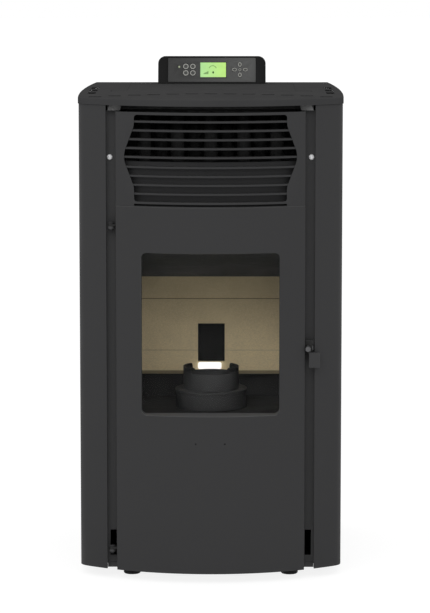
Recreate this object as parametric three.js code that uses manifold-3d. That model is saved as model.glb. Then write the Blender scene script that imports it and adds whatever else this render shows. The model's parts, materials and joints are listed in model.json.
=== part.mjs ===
// Pellet stove: bowed steel casing, glazed door, top hopper with an auger feed,
// a convection grille above the door and a control console on the rear edge of the top.
// Millimetres. X runs to the right, Y from the front to the rear, Z up.
// Pieces are drawn with the middle of the bowed front at y = 0 and the whole stove
// is then moved so that the middle of its footprint is at the origin.

import * as THREE from 'three';
import { mergeVertices } from 'three/addons/utils/BufferGeometryUtils.js';
import Module from 'manifold-3d';

const wasm = await Module();
wasm.setup();

// ---------------------------------------------------------------- sizes

// Stock and fits
const fitGap = 0.3; // between pieces that touch, seat or turn on each other
const sheet = 2; // casing sheet
const weldPlate = 3; // firebox plate

// Casing plan: a front bow, two corner rounds and two long side bows
const frontBowRadius = 450;
const sideBowRadius = 3470;
const cornerRadius = 30;
const casingHalfWidth = 277.3;
const widestDepth = 259;
const bodyDepth = 620;

// Heights
const panelBottom = 20;
const topEdgeBottom = 993;
const topEdgeHeight = 13;
const topOverhang = 1.5;
const topSheet = 2.5;
const topSurface = topEdgeBottom + topEdgeHeight;
const panelTop = topEdgeBottom - 0.5;

// Front posts, which form the floor of the two grooves beside the door
const grooveInnerX = 195.5;
const grooveOuterX = 216;
const postFrontY = 72;
const postSheet = 3;
const postInnerX = 188;
const postSideRoom = 8.458; // from the post to the inner face of the bow
const bowInnerX = Math.sqrt((frontBowRadius - sheet) ** 2 - (frontBowRadius - postFrontY) ** 2);
const postOuterX = bowInnerX - postSideRoom;
const grooveEdgeY = frontBowRadius - Math.sqrt(frontBowRadius ** 2 - grooveOuterX ** 2);
const postWebDepth = 40;
const postTop = 980.7;
const grooveSlotWidth = 13;
const grooveSlotBottom = 46;
const grooveSlotHeight = 54;
const grooveSlotSetIn = 2;
const sideRearFlange = 18;

// Base
const basePanTop = 31;
const basePanSheet = 3;
const basePanRim = 12;
const footX = 166;
const footFrontY = 105;
const footRearSetIn = 75;
const footRearY = bodyDepth - footRearSetIn;
const footPadRadius = 18;
const footPadHeight = 10;
const footNeckRadius = 8;
const footStemRadius = 5;
const footStemTop = 46;

// Panel screws
const screwHeight = 884;
const screwHeadRadius = 5.75;
const screwHeadHeight = 4;
const screwShankRadius = 3;
const screwShankLength = 12;
const screwSetOut = 2.7;
const screwSlotWidth = 1.2;
const screwSlotDepth = 1.2;

// Top plate: vent slots on a shallow arc and along both sides, and a pressed bead
const ventCount = 13;
const ventPitch = 40;
const ventWidth = 27;
const ventDepth = 24;
const ventMiddleY = 206;
const ventArcFall = 105;
const ventArcReach = 250;
const ventCorner = 4;
const sideVentCount = 3;
const sideVentX = 252;
const sideVentFirstY = 238;
const sideVentPitch = 85;
const sideVentLength = 58;
const sideVentWidth = 17;
const beadHalfWidth = 215;
const beadWidth = 3;
const beadDepth = 1;
const beadTurnLength = 26;

// Hopper lid and its mouth in the top plate, placed from the foot of the console
const consoleSetIn = 57;
const consoleFrontY = bodyDepth - consoleSetIn;
const mouthHalfWidth = 180.5;
const mouthLength = 250;
const mouthRearRoom = 3;
const mouthRearY = consoleFrontY - mouthRearRoom;
const mouthFrontY = mouthRearY - mouthLength;
const lidAxisSetIn = 8;
const lidAxisHeight = 1000;
const lidRearOverlap = 3;
const lidRimInset = 4;
const lidPinRadius = 3;
const lidPinReach = 3.5;

// Hopper
const hopperHalfWidth = 168;
const hopperSetBack = 12;
const hopperRearSetIn = 14;
const hopperFrontY = mouthFrontY + hopperSetBack;
const hopperRearY = mouthRearY - hopperRearSetIn;
const hopperFlange = 9;
const hopperShoulderTop = 925;
const hopperBodySetBack = 38;
const hopperBodyFrontY = hopperFrontY + hopperBodySetBack;
const hopperTaperTop = 875;
const hopperTaperBottom = 622;
const hopperOutletHalfWidth = 28;
const hopperOutletLength = 56;
const hopperOutletSetIn = 43;
const hopperOutletRearY = hopperRearY - hopperOutletSetIn;
const hopperOutletFrontY = hopperOutletRearY - hopperOutletLength;

// Feed tube, auger and gear motor on one slanted axis
const augerIncline = 48.6; // degrees from level, rising towards the front
const augerFootSetIn = 80;
const augerFootY = bodyDepth - augerFootSetIn;
const augerFootZ = 440;
const augerTubeLength = 228;
const augerTubeRadius = 32;
const augerTubeWall = 2.5;
const augerScrewRadius = 26;
const augerShaftRadius = 8;
const augerFlightThickness = 4;
const augerFlightPitch = 42;
const augerEndGap = 6;
const augerCoupling = 22;
const feedCollarTop = 604;
const feedCollarRise = 70; // of the collar's foot above the foot of the auger
const motorFlange = 74;
const motorFlangeThickness = 5;
const gearboxSize = 58;
const gearboxLength = 30;
const motorCanRadius = 24;
const motorCanLength = 32;

// Pellet chute through the rear wall of the firebox
const rearBayDepth = 264;
const fireboxRearY = bodyDepth - rearBayDepth;
const chuteHalfWidth = 29;
const chuteBottom = 415.5;
const chuteTop = 499.5;
const chuteKneeReach = 16;
const chuteBackReach = 74;
const chuteKneeY = fireboxRearY + chuteKneeReach;
const chuteBackY = fireboxRearY + chuteBackReach;
const chuteKneeTop = 20; // this and the rises below are above the top of the chute's mouth
const chuteBackBottom = 22;
const chuteBackTop = 66;
const chuteShoulderReach = 36;
const chuteShoulderY = fireboxRearY + chuteShoulderReach;
const chuteShoulderTop = 108;
const chuteKneeHead = 86;
const chuteMouthStraight = 4;
const chuteMouthReach = 20;

// Door
const doorBottom = 20;
const doorTop = 784;
const doorHalfWidth = grooveInnerX;
const doorFlangeRearY = 67;
const windowHalfWidth = 142.4;
const windowBottom = 352;
const windowTop = 690;
const windowCorner = 10;
const glassFrontY = 50;
const glassThickness = 4;
const glassLap = 16;
const doorFrameThickness = 4;
const doorFrameLap = 5;
const doorFrameBottom = 32;
const doorFrameTop = 772;
const gasketHalfWidth = 171;
const gasketBottom = 84;
const gasketTop = 738;
const gasketWidth = 10;
const gasketCorner = 14;

// Door hinge in the left groove
const hingeX = -205.5;
const hingeY = 58;
const hingePinRadius = 4;
const hingeLugRadius = 6.5;
const hingeLugThickness = 5;
const hingeLowerZ = 62;
const hingeUpperZ = 742;
const hingePinHead = 3;
const hingePinHeadRadius = 6;
const hingePinTail = 4;
const hingeLugWeld = 4;

// Latch in the right groove
const latchX = 202;
const latchZ = 487.5;
const latchHexRadius = 6;
const latchHexProud = 3;
const latchHexLength = 8;
const latchShaftRadius = 3.8;
const latchHubRadius = 6;
const latchArmLeft = 204.5;
const latchArmRight = 227;
const latchArmTop = 479.5;
const latchArmBottom = 448.5;
const latchArmThickness = 12;
const latchArmProud = 2.236; // of the rear of the arm ahead of the edge of the casing
const latchArmFrontY = grooveEdgeY - latchArmProud - latchArmThickness;
const latchHexFrontY = latchArmFrontY - latchHexProud;
const latchWeb = 4;
const latchTongueThickness = 3;
const latchTongueReach = 11;
const latchTongueHeight = 9;
const latchEarReach = 9;
const latchEarHeight = 28;
const strikeHeight = 30;
const strikeSideRoom = 1.5;

// Convection grille
const grilleGapAboveDoor = 2;
const grilleTop = 980;
const grilleHalfWidth = 195.2;
const slatCount = 11;
const slatTopZ = 976.6;
const slatPitch = 18.3;
const slatLift = 2; // of the slats below the top one in the open part
const liftedSlats = 5;
const slatThickness = 4.4;
const slatSetback = 1;
const slatDepth = 14;
const slatHalfWidth = 186;
const grilleNarrowHalf = 157;
const grilleWideHalf = 177.5;
const grilleTopBand = 28; // the opening behind the slats, from the top of the frame down
const grilleUpperTaper = 55;
const grilleWideHeight = 18;
const grilleLowerTaper = 54;
const grilleShoulderTop = grilleTop - grilleTopBand;
const grilleWideTop = grilleShoulderTop - grilleUpperTaper;
const grilleWideBottom = grilleWideTop - grilleWideHeight;
const grilleShoulderBottom = grilleWideBottom - grilleLowerTaper;
const louvreBackDrop = 1;
const louvreBackTop = grilleWideBottom - louvreBackDrop;
const louvreBackThickness = 2;
const louvreBackLap = 0.5;

// Top rail, the galvanised strip that ties the posts
const railBottom = 981;
const railReach = 212;
const railTabWidth = 27;
const railTabY = 58;
const railWebY = 95;

// Firebox, a welded box on a front plate
const fireboxHalfWidth = 163;
const fireboxBottom = 97;
const fireboxTop = 869;
const fireboxFloorTop = 340;
const facePlateHalfWidth = 187.5;
const facePlateTop = 782;
const fireOpeningHalf = 155;
const fireOpeningTop = 720;
const ashOpeningTop = 275;
const airChamberHalf = 76;
const airChamberBottom = 284;
const airChamberFrontY = 140;
const liner = 12;
const linerBottom = 389;
const linerJointLow = 441;
const linerJointHigh = 554;
const linerTop = 602;
const linerLedge = 3.5;
const baffleFrontY = 160;
const baffleFrontZ = 690;
const baffleLip = 15;

// Burn pot and its support ring
const potCentreY = 210;
const potRadius = 59;
const potWall = 4;
const potRim = 416;
const potEarRise = 11;
const potEarHalfWidth = 40;
const potFloor = 5;
const potHoleRadius = 4;
const potHoleCircle = 30;
const potHoleCount = 8;
const ringRadius = 77;
const ringTop = 380;
const ringShelf = 7;
const airHoleRadius = 46;

// Igniter below the chute
const igniterX = -3.5;
const igniterWidth = 51;
const igniterBottom = 397;
const igniterTop = 415;
const igniterDepth = 8;
const igniterCut = 6;
const igniterStemRadius = 5;
const igniterStemLength = 60;

// Ash drawer
const drawerHalfWidth = 150;
const drawerFrontY = 78;
const drawerRearRoom = 16;
const drawerRearY = fireboxRearY - drawerRearRoom;
const drawerHeight = 150;
const drawerSheet = 2;
const drawerGripWidth = 90;
const drawerGripHeight = 14;
const drawerGripReach = 1.5;
const drawerGripSetDown = 10;

// Heat exchanger above the firebox
const exchangerHalfWidth = 178;
const exchangerTopSetBack = 30;
const exchangerSetIn = 56;
const exchangerRearY = fireboxRearY - exchangerSetIn;
const exchangerTop = 972;
const exchangerTubeRadius = 13.8;
const exchangerTubeWall = 2;
const exchangerTubePitch = 69;
const exchangerTubes = 5;
const exchangerRowOneY = 118;
const exchangerRowTwoY = 178;

// Flue outlet, exhaust blower and smoke duct
const flueRadius = 40;
const flueWall = 2;
const flueX = 33;
const flueZ = 180;
const flueStub = 45;
const ductLeftX = 95;
const ductRightX = 161;
const ductDepth = 74;
const ductRearY = fireboxRearY + ductDepth;
const ductBottomZ = 110;
const ductTopZ = 735;
const gasWindowBottom = 640;
const gasWindowMargin = 6;
const blowerX = 128;
const blowerRadius = 75;
const blowerDepth = 70;
const blowerWall = 3;
const blowerInletRadius = 29;
const blowerNeckSetIn = 4;
const blowerMotorRadius = 38;
const blowerMotorLength = 58;
const impellerRadius = 60;
const impellerDepth = 38;
const impellerBlades = 8;
const impellerDisc = 3;
const impellerRearRoom = 8;
const impellerShaftRadius = 5;
const bladeThickness = 3;

// Combustion air inlet
const airPipeRadius = 25;
const airPipeWall = 2;
const airPipeX = -40;
const airPipeZ = 311;
const airPipeStub = 30;

// Room fan, a drum in a scroll
const fanSideRoom = 50.7;
const fanLength = 146;
const fanRearRoom = 130;
const fanLeftX = fanSideRoom - casingHalfWidth;
const fanRightX = fanLeftX + fanLength;
const fanCentreY = bodyDepth - fanRearRoom;
const fanCentreZ = 130;
const fanScrollRadius = 72;
const fanWall = 2;
const fanDrumRadius = 52;
const fanDrumWall = 10;
const fanBlades = 14;
const fanShaftRadius = 5;
const fanOutletHeight = 95;
const fanOutletDepth = 52;
const fanIntakeRadius = 40;
const fanEndRoom = 6;
const fanDisc = 3;
const fanShaftInside = 10;
const fanShaftStub = 14;
const fanStandSetIn = 20;
const fanStandHalfDepth = 30;
const fanStandLap = 8;

// Console on the rear edge of the top
const consoleHalfWidth = 119.5;
const consoleRise = 60;
const consoleTilt = 20; // degrees that the face leans back
const consoleDepth = 32;
const consoleCorner = 17;
const consoleWall = 3.5;
const faceHalfWidth = 97.5;
const faceSetIn = 1;
const faceThickness = 2;
const lcdX = 2.8;
const lcdHalfWidth = 28.4;
const lcdMiddle = 32;
const lcdHalfHeight = 17;
const lcdThickness = 5;
const lcdLap = 3;
const ledX = -72.6;
const ledMiddle = 39;
const ledRadius = 2.2;
const keyProud = 0.9;
const keyFlange = 1;
const keyFlangeThickness = 1.2;
const roundKeyRadius = 6.2;
const roundKeyX = [-57.9, -42.3];
const roundKeyLevel = [24.5, 39.5];
const padX = 62.2;
const padMiddle = 32;
const padReachX = 12;
const padReachUp = 12;
const padKeyLong = 5.2;
const padKeyShort = 4;
const okKeyRadius = 3.2;

// Electrics on the rear panel
const rearPanelSetIn = 24.7;
const rearPanelHalfWidth = casingHalfWidth - rearPanelSetIn;
const rearPanelTop = 990;
const rearVentRows = 6;
const rearVentPitch = 16;
const rearVentWidth = 120;
const rearVentHeight = 5;
const rearVentBottom = 700;
const socketSetIn = 54;
const socketX = socketSetIn - rearPanelHalfWidth;
const inletZ = 330;
const inletWidth = 28;
const inletHeight = 22;
const inletDepth = 22;
const inletFlange = 5;
const inletFlangeThickness = 2;
const inletWall = 3;
const inletPinPitch = 7;
const inletPinRise = [-2, 3, -2];
const switchZ = 375;
const rockerWidth = 12;
const rockerHeight = 20;
const rockerDepth = 12;
const boardSetIn = 104;
const boardX = boardSetIn - rearPanelHalfWidth;
const boardZ = 480;
const boardWidth = 150;
const boardHeight = 110;
const boardThickness = 2;
const boardStandoff = 10;
const boardPostRadius = 3;
const boardPostSetIn = 7;
// Parts on the board, from its middle: left and bottom edge, width, height and depth
const transformer = { x: -60, z: -40, width: 35, height: 32, depth: 22 };
const relay = { x: -60, z: 14, width: 18, height: 20, depth: 14, pitch: 24, count: 3 };
const plug = { x: 0, z: -44, width: 12, height: 10, depth: 10, pitch: 17, count: 4 };

// Facets
const bowFacets = 16;
const roundFacets = 24;
const smallFacets = 12;

// ---------------------------------------------------------------- derived planes

const rearPanelY = bodyDepth - sheet - fitGap - sheet;
const doorPlateY = glassFrontY + glassThickness + fitGap;
const gasketFrontY = doorPlateY + doorFrameThickness + fitGap;
const facePlateY = postFrontY;
const fireboxFrontY = facePlateY + weldPlate;
const boardFrontY = fireboxRearY - weldPlate - fitGap - liner;
const flueEndY = bodyDepth + flueStub;
const frontmostY = -topOverhang;
const footprintMiddleY = (frontmostY + flueEndY) / 2;
const radians = THREE.MathUtils.degToRad;

// ---------------------------------------------------------------- solids

function solidOf(geometry) {
  const bare = geometry.clone();
  bare.deleteAttribute('normal');
  bare.deleteAttribute('uv');
  const merged = mergeVertices(bare, 1e-4);
  const mesh = new wasm.Mesh({
    numProp: 3,
    vertProperties: merged.attributes.position.array,
    triVerts: new Uint32Array(merged.index.array),
  });
  return new wasm.Manifold(mesh);
}

function geometryOf(solid) {
  const mesh = solid.getMesh();
  const geometry = new THREE.BufferGeometry();
  geometry.setAttribute('position', new THREE.BufferAttribute(mesh.vertProperties, 3));
  geometry.setIndex(new THREE.BufferAttribute(mesh.triVerts, 1));
  return geometry;
}

function unite(...solids) {
  return solids.reduce((whole, next) => whole.add(next));
}

function cut(solid, ...tools) {
  return tools.reduce((rest, tool) => rest.subtract(tool), solid);
}

// A block between two corners, each side given as its low and high coordinate.
function block(x, y, z) {
  const geometry = new THREE.BoxGeometry(x[1] - x[0], y[1] - y[0], z[1] - z[0]);
  geometry.translate((x[0] + x[1]) / 2, (y[0] + y[1]) / 2, (z[0] + z[1]) / 2);
  return solidOf(geometry);
}

// A plan outline raised from one height to another.
function raise(points, bottom, top) {
  const shape = new THREE.Shape(points);
  const geometry = new THREE.ExtrudeGeometry(shape, { depth: top - bottom, bevelEnabled: false });
  geometry.translate(0, 0, bottom);
  return solidOf(geometry);
}

// A front-view outline (x, z) carried back from one depth to another.
function carryBack(shape, front, rear, curveSegments = 6) {
  const options = { depth: rear - front, bevelEnabled: false, curveSegments };
  const geometry = new THREE.ExtrudeGeometry(shape, options);
  geometry.rotateX(Math.PI / 2);
  geometry.translate(0, rear, 0);
  return solidOf(geometry);
}

// A side-view outline (y, z) carried across from one x to another.
function carryAcross(points, left, right) {
  const shape = new THREE.Shape(points);
  const geometry = new THREE.ExtrudeGeometry(shape, { depth: right - left, bevelEnabled: false });
  geometry.rotateX(Math.PI / 2);
  geometry.rotateZ(Math.PI / 2);
  geometry.translate(left, 0, 0);
  return solidOf(geometry);
}

// A turned body from (radius, height) pairs that start and end on the Z axis.
function turned(profile, facets = roundFacets) {
  const points = profile.map(([radius, height]) => new THREE.Vector2(radius, height));
  const geometry = new THREE.LatheGeometry(points, facets);
  geometry.rotateX(Math.PI / 2);
  return solidOf(geometry);
}

function rodAlongZ(radius, bottom, top, facets = roundFacets) {
  return turned([[0, bottom], [radius, bottom], [radius, top], [0, top]], facets);
}

// The same rod laid along Y, from one depth to another, at x and z.
function rodAlongY(radius, front, rear, x, z, facets = roundFacets) {
  return rodAlongZ(radius, -rear, -front, facets).rotate([90, 0, 0]).translate([x, 0, z]);
}

function rodAlongX(radius, left, right, y, z, facets = roundFacets) {
  return rodAlongZ(radius, left, right, facets).rotate([0, 90, 0]).translate([0, y, z]);
}

function roundedRect(halfWidth, bottom, top, radius) {
  const shape = new THREE.Shape();
  shape.moveTo(-halfWidth + radius, bottom);
  shape.lineTo(halfWidth - radius, bottom);
  shape.absarc(halfWidth - radius, bottom + radius, radius, -Math.PI / 2, 0);
  shape.lineTo(halfWidth, top - radius);
  shape.absarc(halfWidth - radius, top - radius, radius, 0, Math.PI / 2);
  shape.lineTo(-halfWidth + radius, top);
  shape.absarc(-halfWidth + radius, top - radius, radius, Math.PI / 2, Math.PI);
  shape.lineTo(-halfWidth, bottom + radius);
  shape.absarc(-halfWidth + radius, bottom + radius, radius, Math.PI, Math.PI * 1.5);
  return shape;
}

// The corners of a folded strip: the drawn line and the same line moved to its left.
function foldedStrip(line, thickness) {
  const offset = line.map((point, index) => {
    const before = line[Math.max(index - 1, 0)];
    const after = line[Math.min(index + 1, line.length - 1)];
    const intoPoint = normalOf(before, point);
    const outOfPoint = normalOf(point, after);
    const first = intoPoint ?? outOfPoint;
    const second = outOfPoint ?? intoPoint;
    const stretch = thickness / (1 + first.dot(second));
    return point.clone().addScaledVector(first, stretch).addScaledVector(second, stretch);
  });
  return [...line, ...offset.reverse()];
}

function normalOf(from, to) {
  if (from.equals(to)) return null;
  const along = to.clone().sub(from).normalize();
  return new THREE.Vector2(-along.y, along.x);
}

// A closed outline moved outwards by a wall, corner by corner.
function grown(points, wall) {
  const turns = THREE.ShapeUtils.isClockWise(points) ? -1 : 1;
  return points.map((point, index) => {
    const before = points[(index + points.length - 1) % points.length];
    const after = points[(index + 1) % points.length];
    const first = normalOf(before, point).multiplyScalar(-turns);
    const second = normalOf(point, after).multiplyScalar(-turns);
    const stretch = wall / (1 + first.dot(second));
    return point.clone().addScaledVector(first, stretch).addScaledVector(second, stretch);
  });
}

function at(x, y) {
  return new THREE.Vector2(x, y);
}

function mirrored(points) {
  return points.map((point) => at(-point.x, point.y)).reverse();
}

// ---------------------------------------------------------------- casing plan

const frontBowCentre = at(0, frontBowRadius);
const sideBowCentre = at(casingHalfWidth - sideBowRadius, widestDepth);
const cornerCentre = meetingPoint(
  frontBowCentre,
  frontBowRadius - cornerRadius,
  sideBowCentre,
  sideBowRadius - cornerRadius,
);

// The meeting point of two circles on the side away from the rear of the stove.
function meetingPoint(centreA, radiusA, centreB, radiusB) {
  const between = centreB.clone().sub(centreA);
  const distance = between.length();
  const along = (radiusA ** 2 - radiusB ** 2 + distance ** 2) / (2 * distance);
  const across = Math.sqrt(radiusA ** 2 - along ** 2);
  const unit = between.divideScalar(distance);
  const foot = centreA.clone().addScaledVector(unit, along);
  const side = at(-unit.y, unit.x);
  const one = foot.clone().addScaledVector(side, across);
  const other = foot.clone().addScaledVector(side, -across);
  return one.x > other.x ? one : other;
}

// Angles are measured at a circle's centre from straight forward (-Y) round to the right.
function bearing(centre, target) {
  return Math.atan2(target.x - centre.x, centre.y - target.y);
}

function arcPoints(centre, radius, from, to, steps) {
  return Array.from({ length: steps + 1 }, (_, index) => {
    const angle = from + ((to - from) * index) / steps;
    return at(centre.x + radius * Math.sin(angle), centre.y - radius * Math.cos(angle));
  });
}

// The right half of the casing plan, set in from the outside, from startX to the depth endY.
function casingHalf(inset, startX, endY) {
  const startAngle = Math.asin(startX / (frontBowRadius - inset));
  const cornerStart = bearing(frontBowCentre, cornerCentre);
  const cornerEnd = bearing(sideBowCentre, cornerCentre);
  const sideRadius = sideBowRadius - inset;
  const endAngle = Math.acos((sideBowCentre.y - endY) / sideRadius);
  const frontSteps = Math.max(2, Math.round((cornerStart - startAngle) / radians(3.6)));
  const front = arcPoints(frontBowCentre, frontBowRadius - inset, startAngle, cornerStart, frontSteps);
  const corner = arcPoints(cornerCentre, cornerRadius - inset, cornerStart, cornerEnd, 6);
  const side = arcPoints(sideBowCentre, sideRadius, cornerEnd, endAngle, 10);
  return [...front, ...corner.slice(1), ...side.slice(1)];
}

function casingPlan(inset, endY) {
  const right = casingHalf(inset, 0, endY);
  return [...right, ...mirrored(right.slice(1))];
}

// The space behind the front bow, from the bow (set in) back to a flat rear plane.
function bowBlock(inset, halfWidth, rear, bottom, top) {
  const radius = frontBowRadius - inset;
  const reach = Math.asin(halfWidth / radius);
  const front = arcPoints(frontBowCentre, radius, -reach, reach, bowFacets);
  return raise([...front, at(halfWidth, rear), at(-halfWidth, rear)], bottom, top);
}

// ---------------------------------------------------------------- finishes

function finish(colour, roughness, metalness) {
  return new THREE.MeshStandardMaterial({ color: colour, roughness, metalness });
}

const casingPaint = () => finish(0x3b3b3b, 0.6, 0.2);
const topPaint = () => finish(0x424242, 0.6, 0.2);
const innerSteel = () => finish(0x2a2a2a, 0.7, 0.4);
const castIron = () => finish(0x343436, 0.75, 0.5);
const zincPlate = () => finish(0xd8d8d8, 0.3, 0.9);
const galvanised = () => finish(0x9a9a9a, 0.45, 0.8);
const boardLiner = () => finish(0xb8ab82, 0.9, 0);
const whiteCeramic = () => finish(0xf4f2ec, 0.7, 0);
const stoveGlass = () => finish(0x1c1c1e, 0.05, 0);
const blackPlastic = () => finish(0x161616, 0.5, 0);
const greyFilm = () => finish(0x484943, 0.35, 0);
const keyFilm = () => finish(0x5c5c5a, 0.5, 0);
const lcdGreen = () => finish(0xa8e070, 0.2, 0);
const ledLens = () => finish(0xd8dccc, 0.2, 0);
const ropeSeal = () => finish(0x2c2c2c, 0.95, 0);
const castAluminium = () => finish(0x8f9193, 0.5, 0.7);
const greenBoard = () => finish(0x2a5a3a, 0.6, 0);

const stove = new THREE.Group();

function addPiece(name, solid, material, parent = stove) {
  const mesh = new THREE.Mesh(geometryOf(solid), material);
  mesh.name = name;
  parent.add(mesh);
  return mesh;
}

// ---------------------------------------------------------------- base and feet

const basePanInset = sheet + fitGap;
const basePanRearY = rearPanelY - fitGap;

function basePan() {
  const bottom = basePanTop - basePanSheet;
  const inner = basePanInset + sheet;
  const tray = raise(casingPlan(basePanInset, basePanRearY), bottom, basePanTop + basePanRim);
  const hollow = raise(casingPlan(inner, basePanRearY - sheet), basePanTop, basePanTop + basePanRim + 1);
  const wide = [-casingHalfWidth, casingHalfWidth];
  const cutForward = block(wide, [-10, postFrontY], [0, topSurface]);
  const frontRimY = postFrontY + postWebDepth + postSheet;
  const frontRim = block(wide, [0, frontRimY], [basePanTop, topSurface]);
  const holes = footPlaces().map(([x, y]) => rodAlongZ(footStemRadius + fitGap, 0, 60, smallFacets)
    .translate([x, y, 0]));
  const lipReach = grooveOuterX - fitGap;
  const frontLip = block(
    [-lipReach, lipReach],
    [postFrontY, postFrontY + basePanSheet],
    [panelBottom, basePanTop],
  );
  return unite(cut(tray, hollow, cutForward, frontRim, ...holes), frontLip);
}

function footPlaces() {
  return [[-footX, footFrontY], [footX, footFrontY], [-footX, footRearY], [footX, footRearY]];
}

function foot() {
  const shoulder = basePanTop - basePanSheet - fitGap;
  return turned([
    [0, 0],
    [footPadRadius - 1.5, 0],
    [footPadRadius, 1.5],
    [footPadRadius, footPadHeight - 2],
    [footPadRadius - 3, footPadHeight],
    [footNeckRadius, footPadHeight],
    [footNeckRadius, shoulder],
    [footStemRadius, shoulder],
    [footStemRadius, footStemTop],
    [0, footStemTop],
  ], smallFacets);
}

addPiece('base_pan', basePan(), innerSteel());
const footNames = ['foot_front_left', 'foot_front_right', 'foot_rear_left', 'foot_rear_right'];
footPlaces().forEach(([x, y], index) => {
  const mesh = addPiece(footNames[index], foot(), blackPlastic());
  mesh.position.set(x, y, 0);
});

// ---------------------------------------------------------------- side panels and posts

function sidePanelPlan() {
  const outer = casingHalf(0, grooveOuterX, bodyDepth);
  const inner = casingHalf(sheet, grooveOuterX + sheet, bodyDepth - sheet);
  const flangeX = outer.at(-1).x - sideRearFlange;
  const wallRear = postFrontY - fitGap;
  return [
    ...outer,
    at(flangeX, bodyDepth),
    at(flangeX, bodyDepth - sheet),
    ...inner.reverse(),
    at(grooveOuterX + sheet, wallRear),
    at(grooveOuterX, wallRear),
  ];
}

const rightPlan = sidePanelPlan();
addPiece('side_panel_left', raise(mirrored(rightPlan), panelBottom, panelTop), casingPaint());
addPiece('side_panel_right', raise(rightPlan, panelBottom, panelTop), casingPaint());

const grooveMiddleX = (grooveInnerX + grooveOuterX) / 2;
const screwX = grooveMiddleX + screwSetOut;
const slotMiddleX = grooveMiddleX - grooveSlotSetIn;

// The post on the right; the left one is its mirror image with hinge lugs added.
function postBody(side) {
  const line = [
    at(side * postInnerX, postFrontY),
    at(side * postOuterX, postFrontY),
    at(side * postOuterX, postFrontY + postWebDepth),
  ];
  const strip = foldedStrip(line, side * postSheet);
  const post = raise(strip, basePanTop + fitGap, postTop);
  const slotX = side * slotMiddleX;
  const slot = block(
    [slotX - grooveSlotWidth / 2, slotX + grooveSlotWidth / 2],
    [postFrontY - 1, postFrontY + postSheet + 1],
    [grooveSlotBottom, grooveSlotBottom + grooveSlotHeight],
  );
  const hole = rodAlongY(
    screwShankRadius + fitGap,
    postFrontY - 1,
    postFrontY + postSheet + 1,
    side * screwX,
    screwHeight,
    smallFacets,
  );
  return cut(post, slot, hole);
}

// A flat lug round the hinge axis, reaching back (towards +Y) or sideways (towards +X).
function hingeLug(reachX, reachY, bottom) {
  const top = bottom + hingeLugThickness;
  const eye = rodAlongZ(hingeLugRadius, bottom, top, smallFacets).translate([hingeX, hingeY, 0]);
  const tail = block(
    [hingeX - (reachX ? 0 : hingeLugRadius), reachX ?? hingeX + hingeLugRadius],
    [hingeY - (reachY ? 0 : hingeLugRadius), reachY ?? hingeY + hingeLugRadius],
    [bottom, top],
  );
  const bore = rodAlongZ(hingePinRadius + fitGap, bottom - 1, top + 1, smallFacets)
    .translate([hingeX, hingeY, 0]);
  return unite(eye, tail).subtract(bore);
}

const hingeLevels = [hingeLowerZ, hingeUpperZ];
const hingeNotchRoom = 1.5;
const tongueFrontY = doorPlateY + doorFrameThickness + fitGap;
const tongueRearY = tongueFrontY + latchTongueThickness;
const strikeFrontY = tongueRearY + fitGap;

function leftPost() {
  const lugs = hingeLevels.map((z) => hingeLug(null, postFrontY + 1, z - hingeLugThickness - fitGap));
  return unite(postBody(-1), ...lugs);
}

function rightPost() {
  const strike = block(
    [grooveInnerX + strikeSideRoom, grooveOuterX - strikeSideRoom],
    [strikeFrontY, postFrontY + 1],
    [latchZ - strikeHeight / 2, latchZ + strikeHeight / 2],
  );
  return unite(postBody(1), strike);
}

function panelScrew() {
  const headRear = -fitGap;
  const headFront = headRear - screwHeadHeight;
  const head = turned([
    [0, 0],
    [screwHeadRadius, 0],
    [screwHeadRadius, screwHeadHeight * 0.5],
    [screwHeadRadius * 0.8, screwHeadHeight * 0.85],
    [screwHeadRadius * 0.45, screwHeadHeight],
    [0, screwHeadHeight],
  ], smallFacets).rotate([90, 0, 0]).translate([0, headRear, 0]);
  const shank = rodAlongY(screwShankRadius, headRear - 1, screwShankLength, 0, 0, smallFacets);
  const slot = block(
    [-screwSlotWidth / 2, screwSlotWidth / 2],
    [headFront - 1, headFront + screwSlotDepth],
    [-screwHeadRadius - 1, screwHeadRadius + 1],
  );
  return unite(head, shank).subtract(slot);
}

addPiece('front_post_left', leftPost(), casingPaint());
addPiece('front_post_right', rightPost(), casingPaint());
[['panel_screw_left', -1], ['panel_screw_right', 1]].forEach(([name, side]) => {
  const mesh = addPiece(name, panelScrew(), zincPlate());
  mesh.position.set(side * screwX, postFrontY, screwHeight);
});

function topRail() {
  const tabStart = railReach - railTabWidth;
  const line = [
    at(tabStart, railTabY),
    at(railReach, railTabY),
    at(railReach, railWebY),
    at(-railReach, railWebY),
    at(-railReach, railTabY),
    at(-tabStart, railTabY),
  ];
  return raise(foldedStrip(line, sheet), railBottom, panelTop);
}

addPiece('top_rail', topRail(), galvanised());

// ---------------------------------------------------------------- rear panel and electrics

function rearPanel() {
  const thick = [rearPanelY, rearPanelY + sheet];
  const panel = block([-rearPanelHalfWidth, rearPanelHalfWidth], thick, [basePanTop + fitGap, rearPanelTop]);
  const through = [rearPanelY - 1, rearPanelY + sheet + 1];
  const flueHole = rodAlongY(flueRadius + fitGap, ...through, flueX, flueZ);
  const airHole = rodAlongY(airPipeRadius + fitGap, ...through, airPipeX, airPipeZ);
  const inletHole = frontBlock(socketX, inletZ, inletWidth / 2 + fitGap, inletHeight / 2 + fitGap, through);
  const rockerHole = frontBlock(socketX, switchZ, rockerWidth / 2 + fitGap, rockerHeight / 2 + 1, through);
  const vents = [];
  for (let row = 0; row < rearVentRows; row += 1) {
    for (const side of [-1, 1]) {
      const z = rearVentBottom + row * rearVentPitch;
      const x = side * (rearPanelHalfWidth / 2);
      vents.push(frontBlock(x, z, rearVentWidth / 2, rearVentHeight / 2, through));
    }
  }
  return cut(panel, flueHole, airHole, inletHole, rockerHole, ...vents);
}

function frontBlock(x, z, halfWidth, halfHeight, depths) {
  return block([x - halfWidth, x + halfWidth], depths, [z - halfHeight, z + halfHeight]);
}

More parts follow.
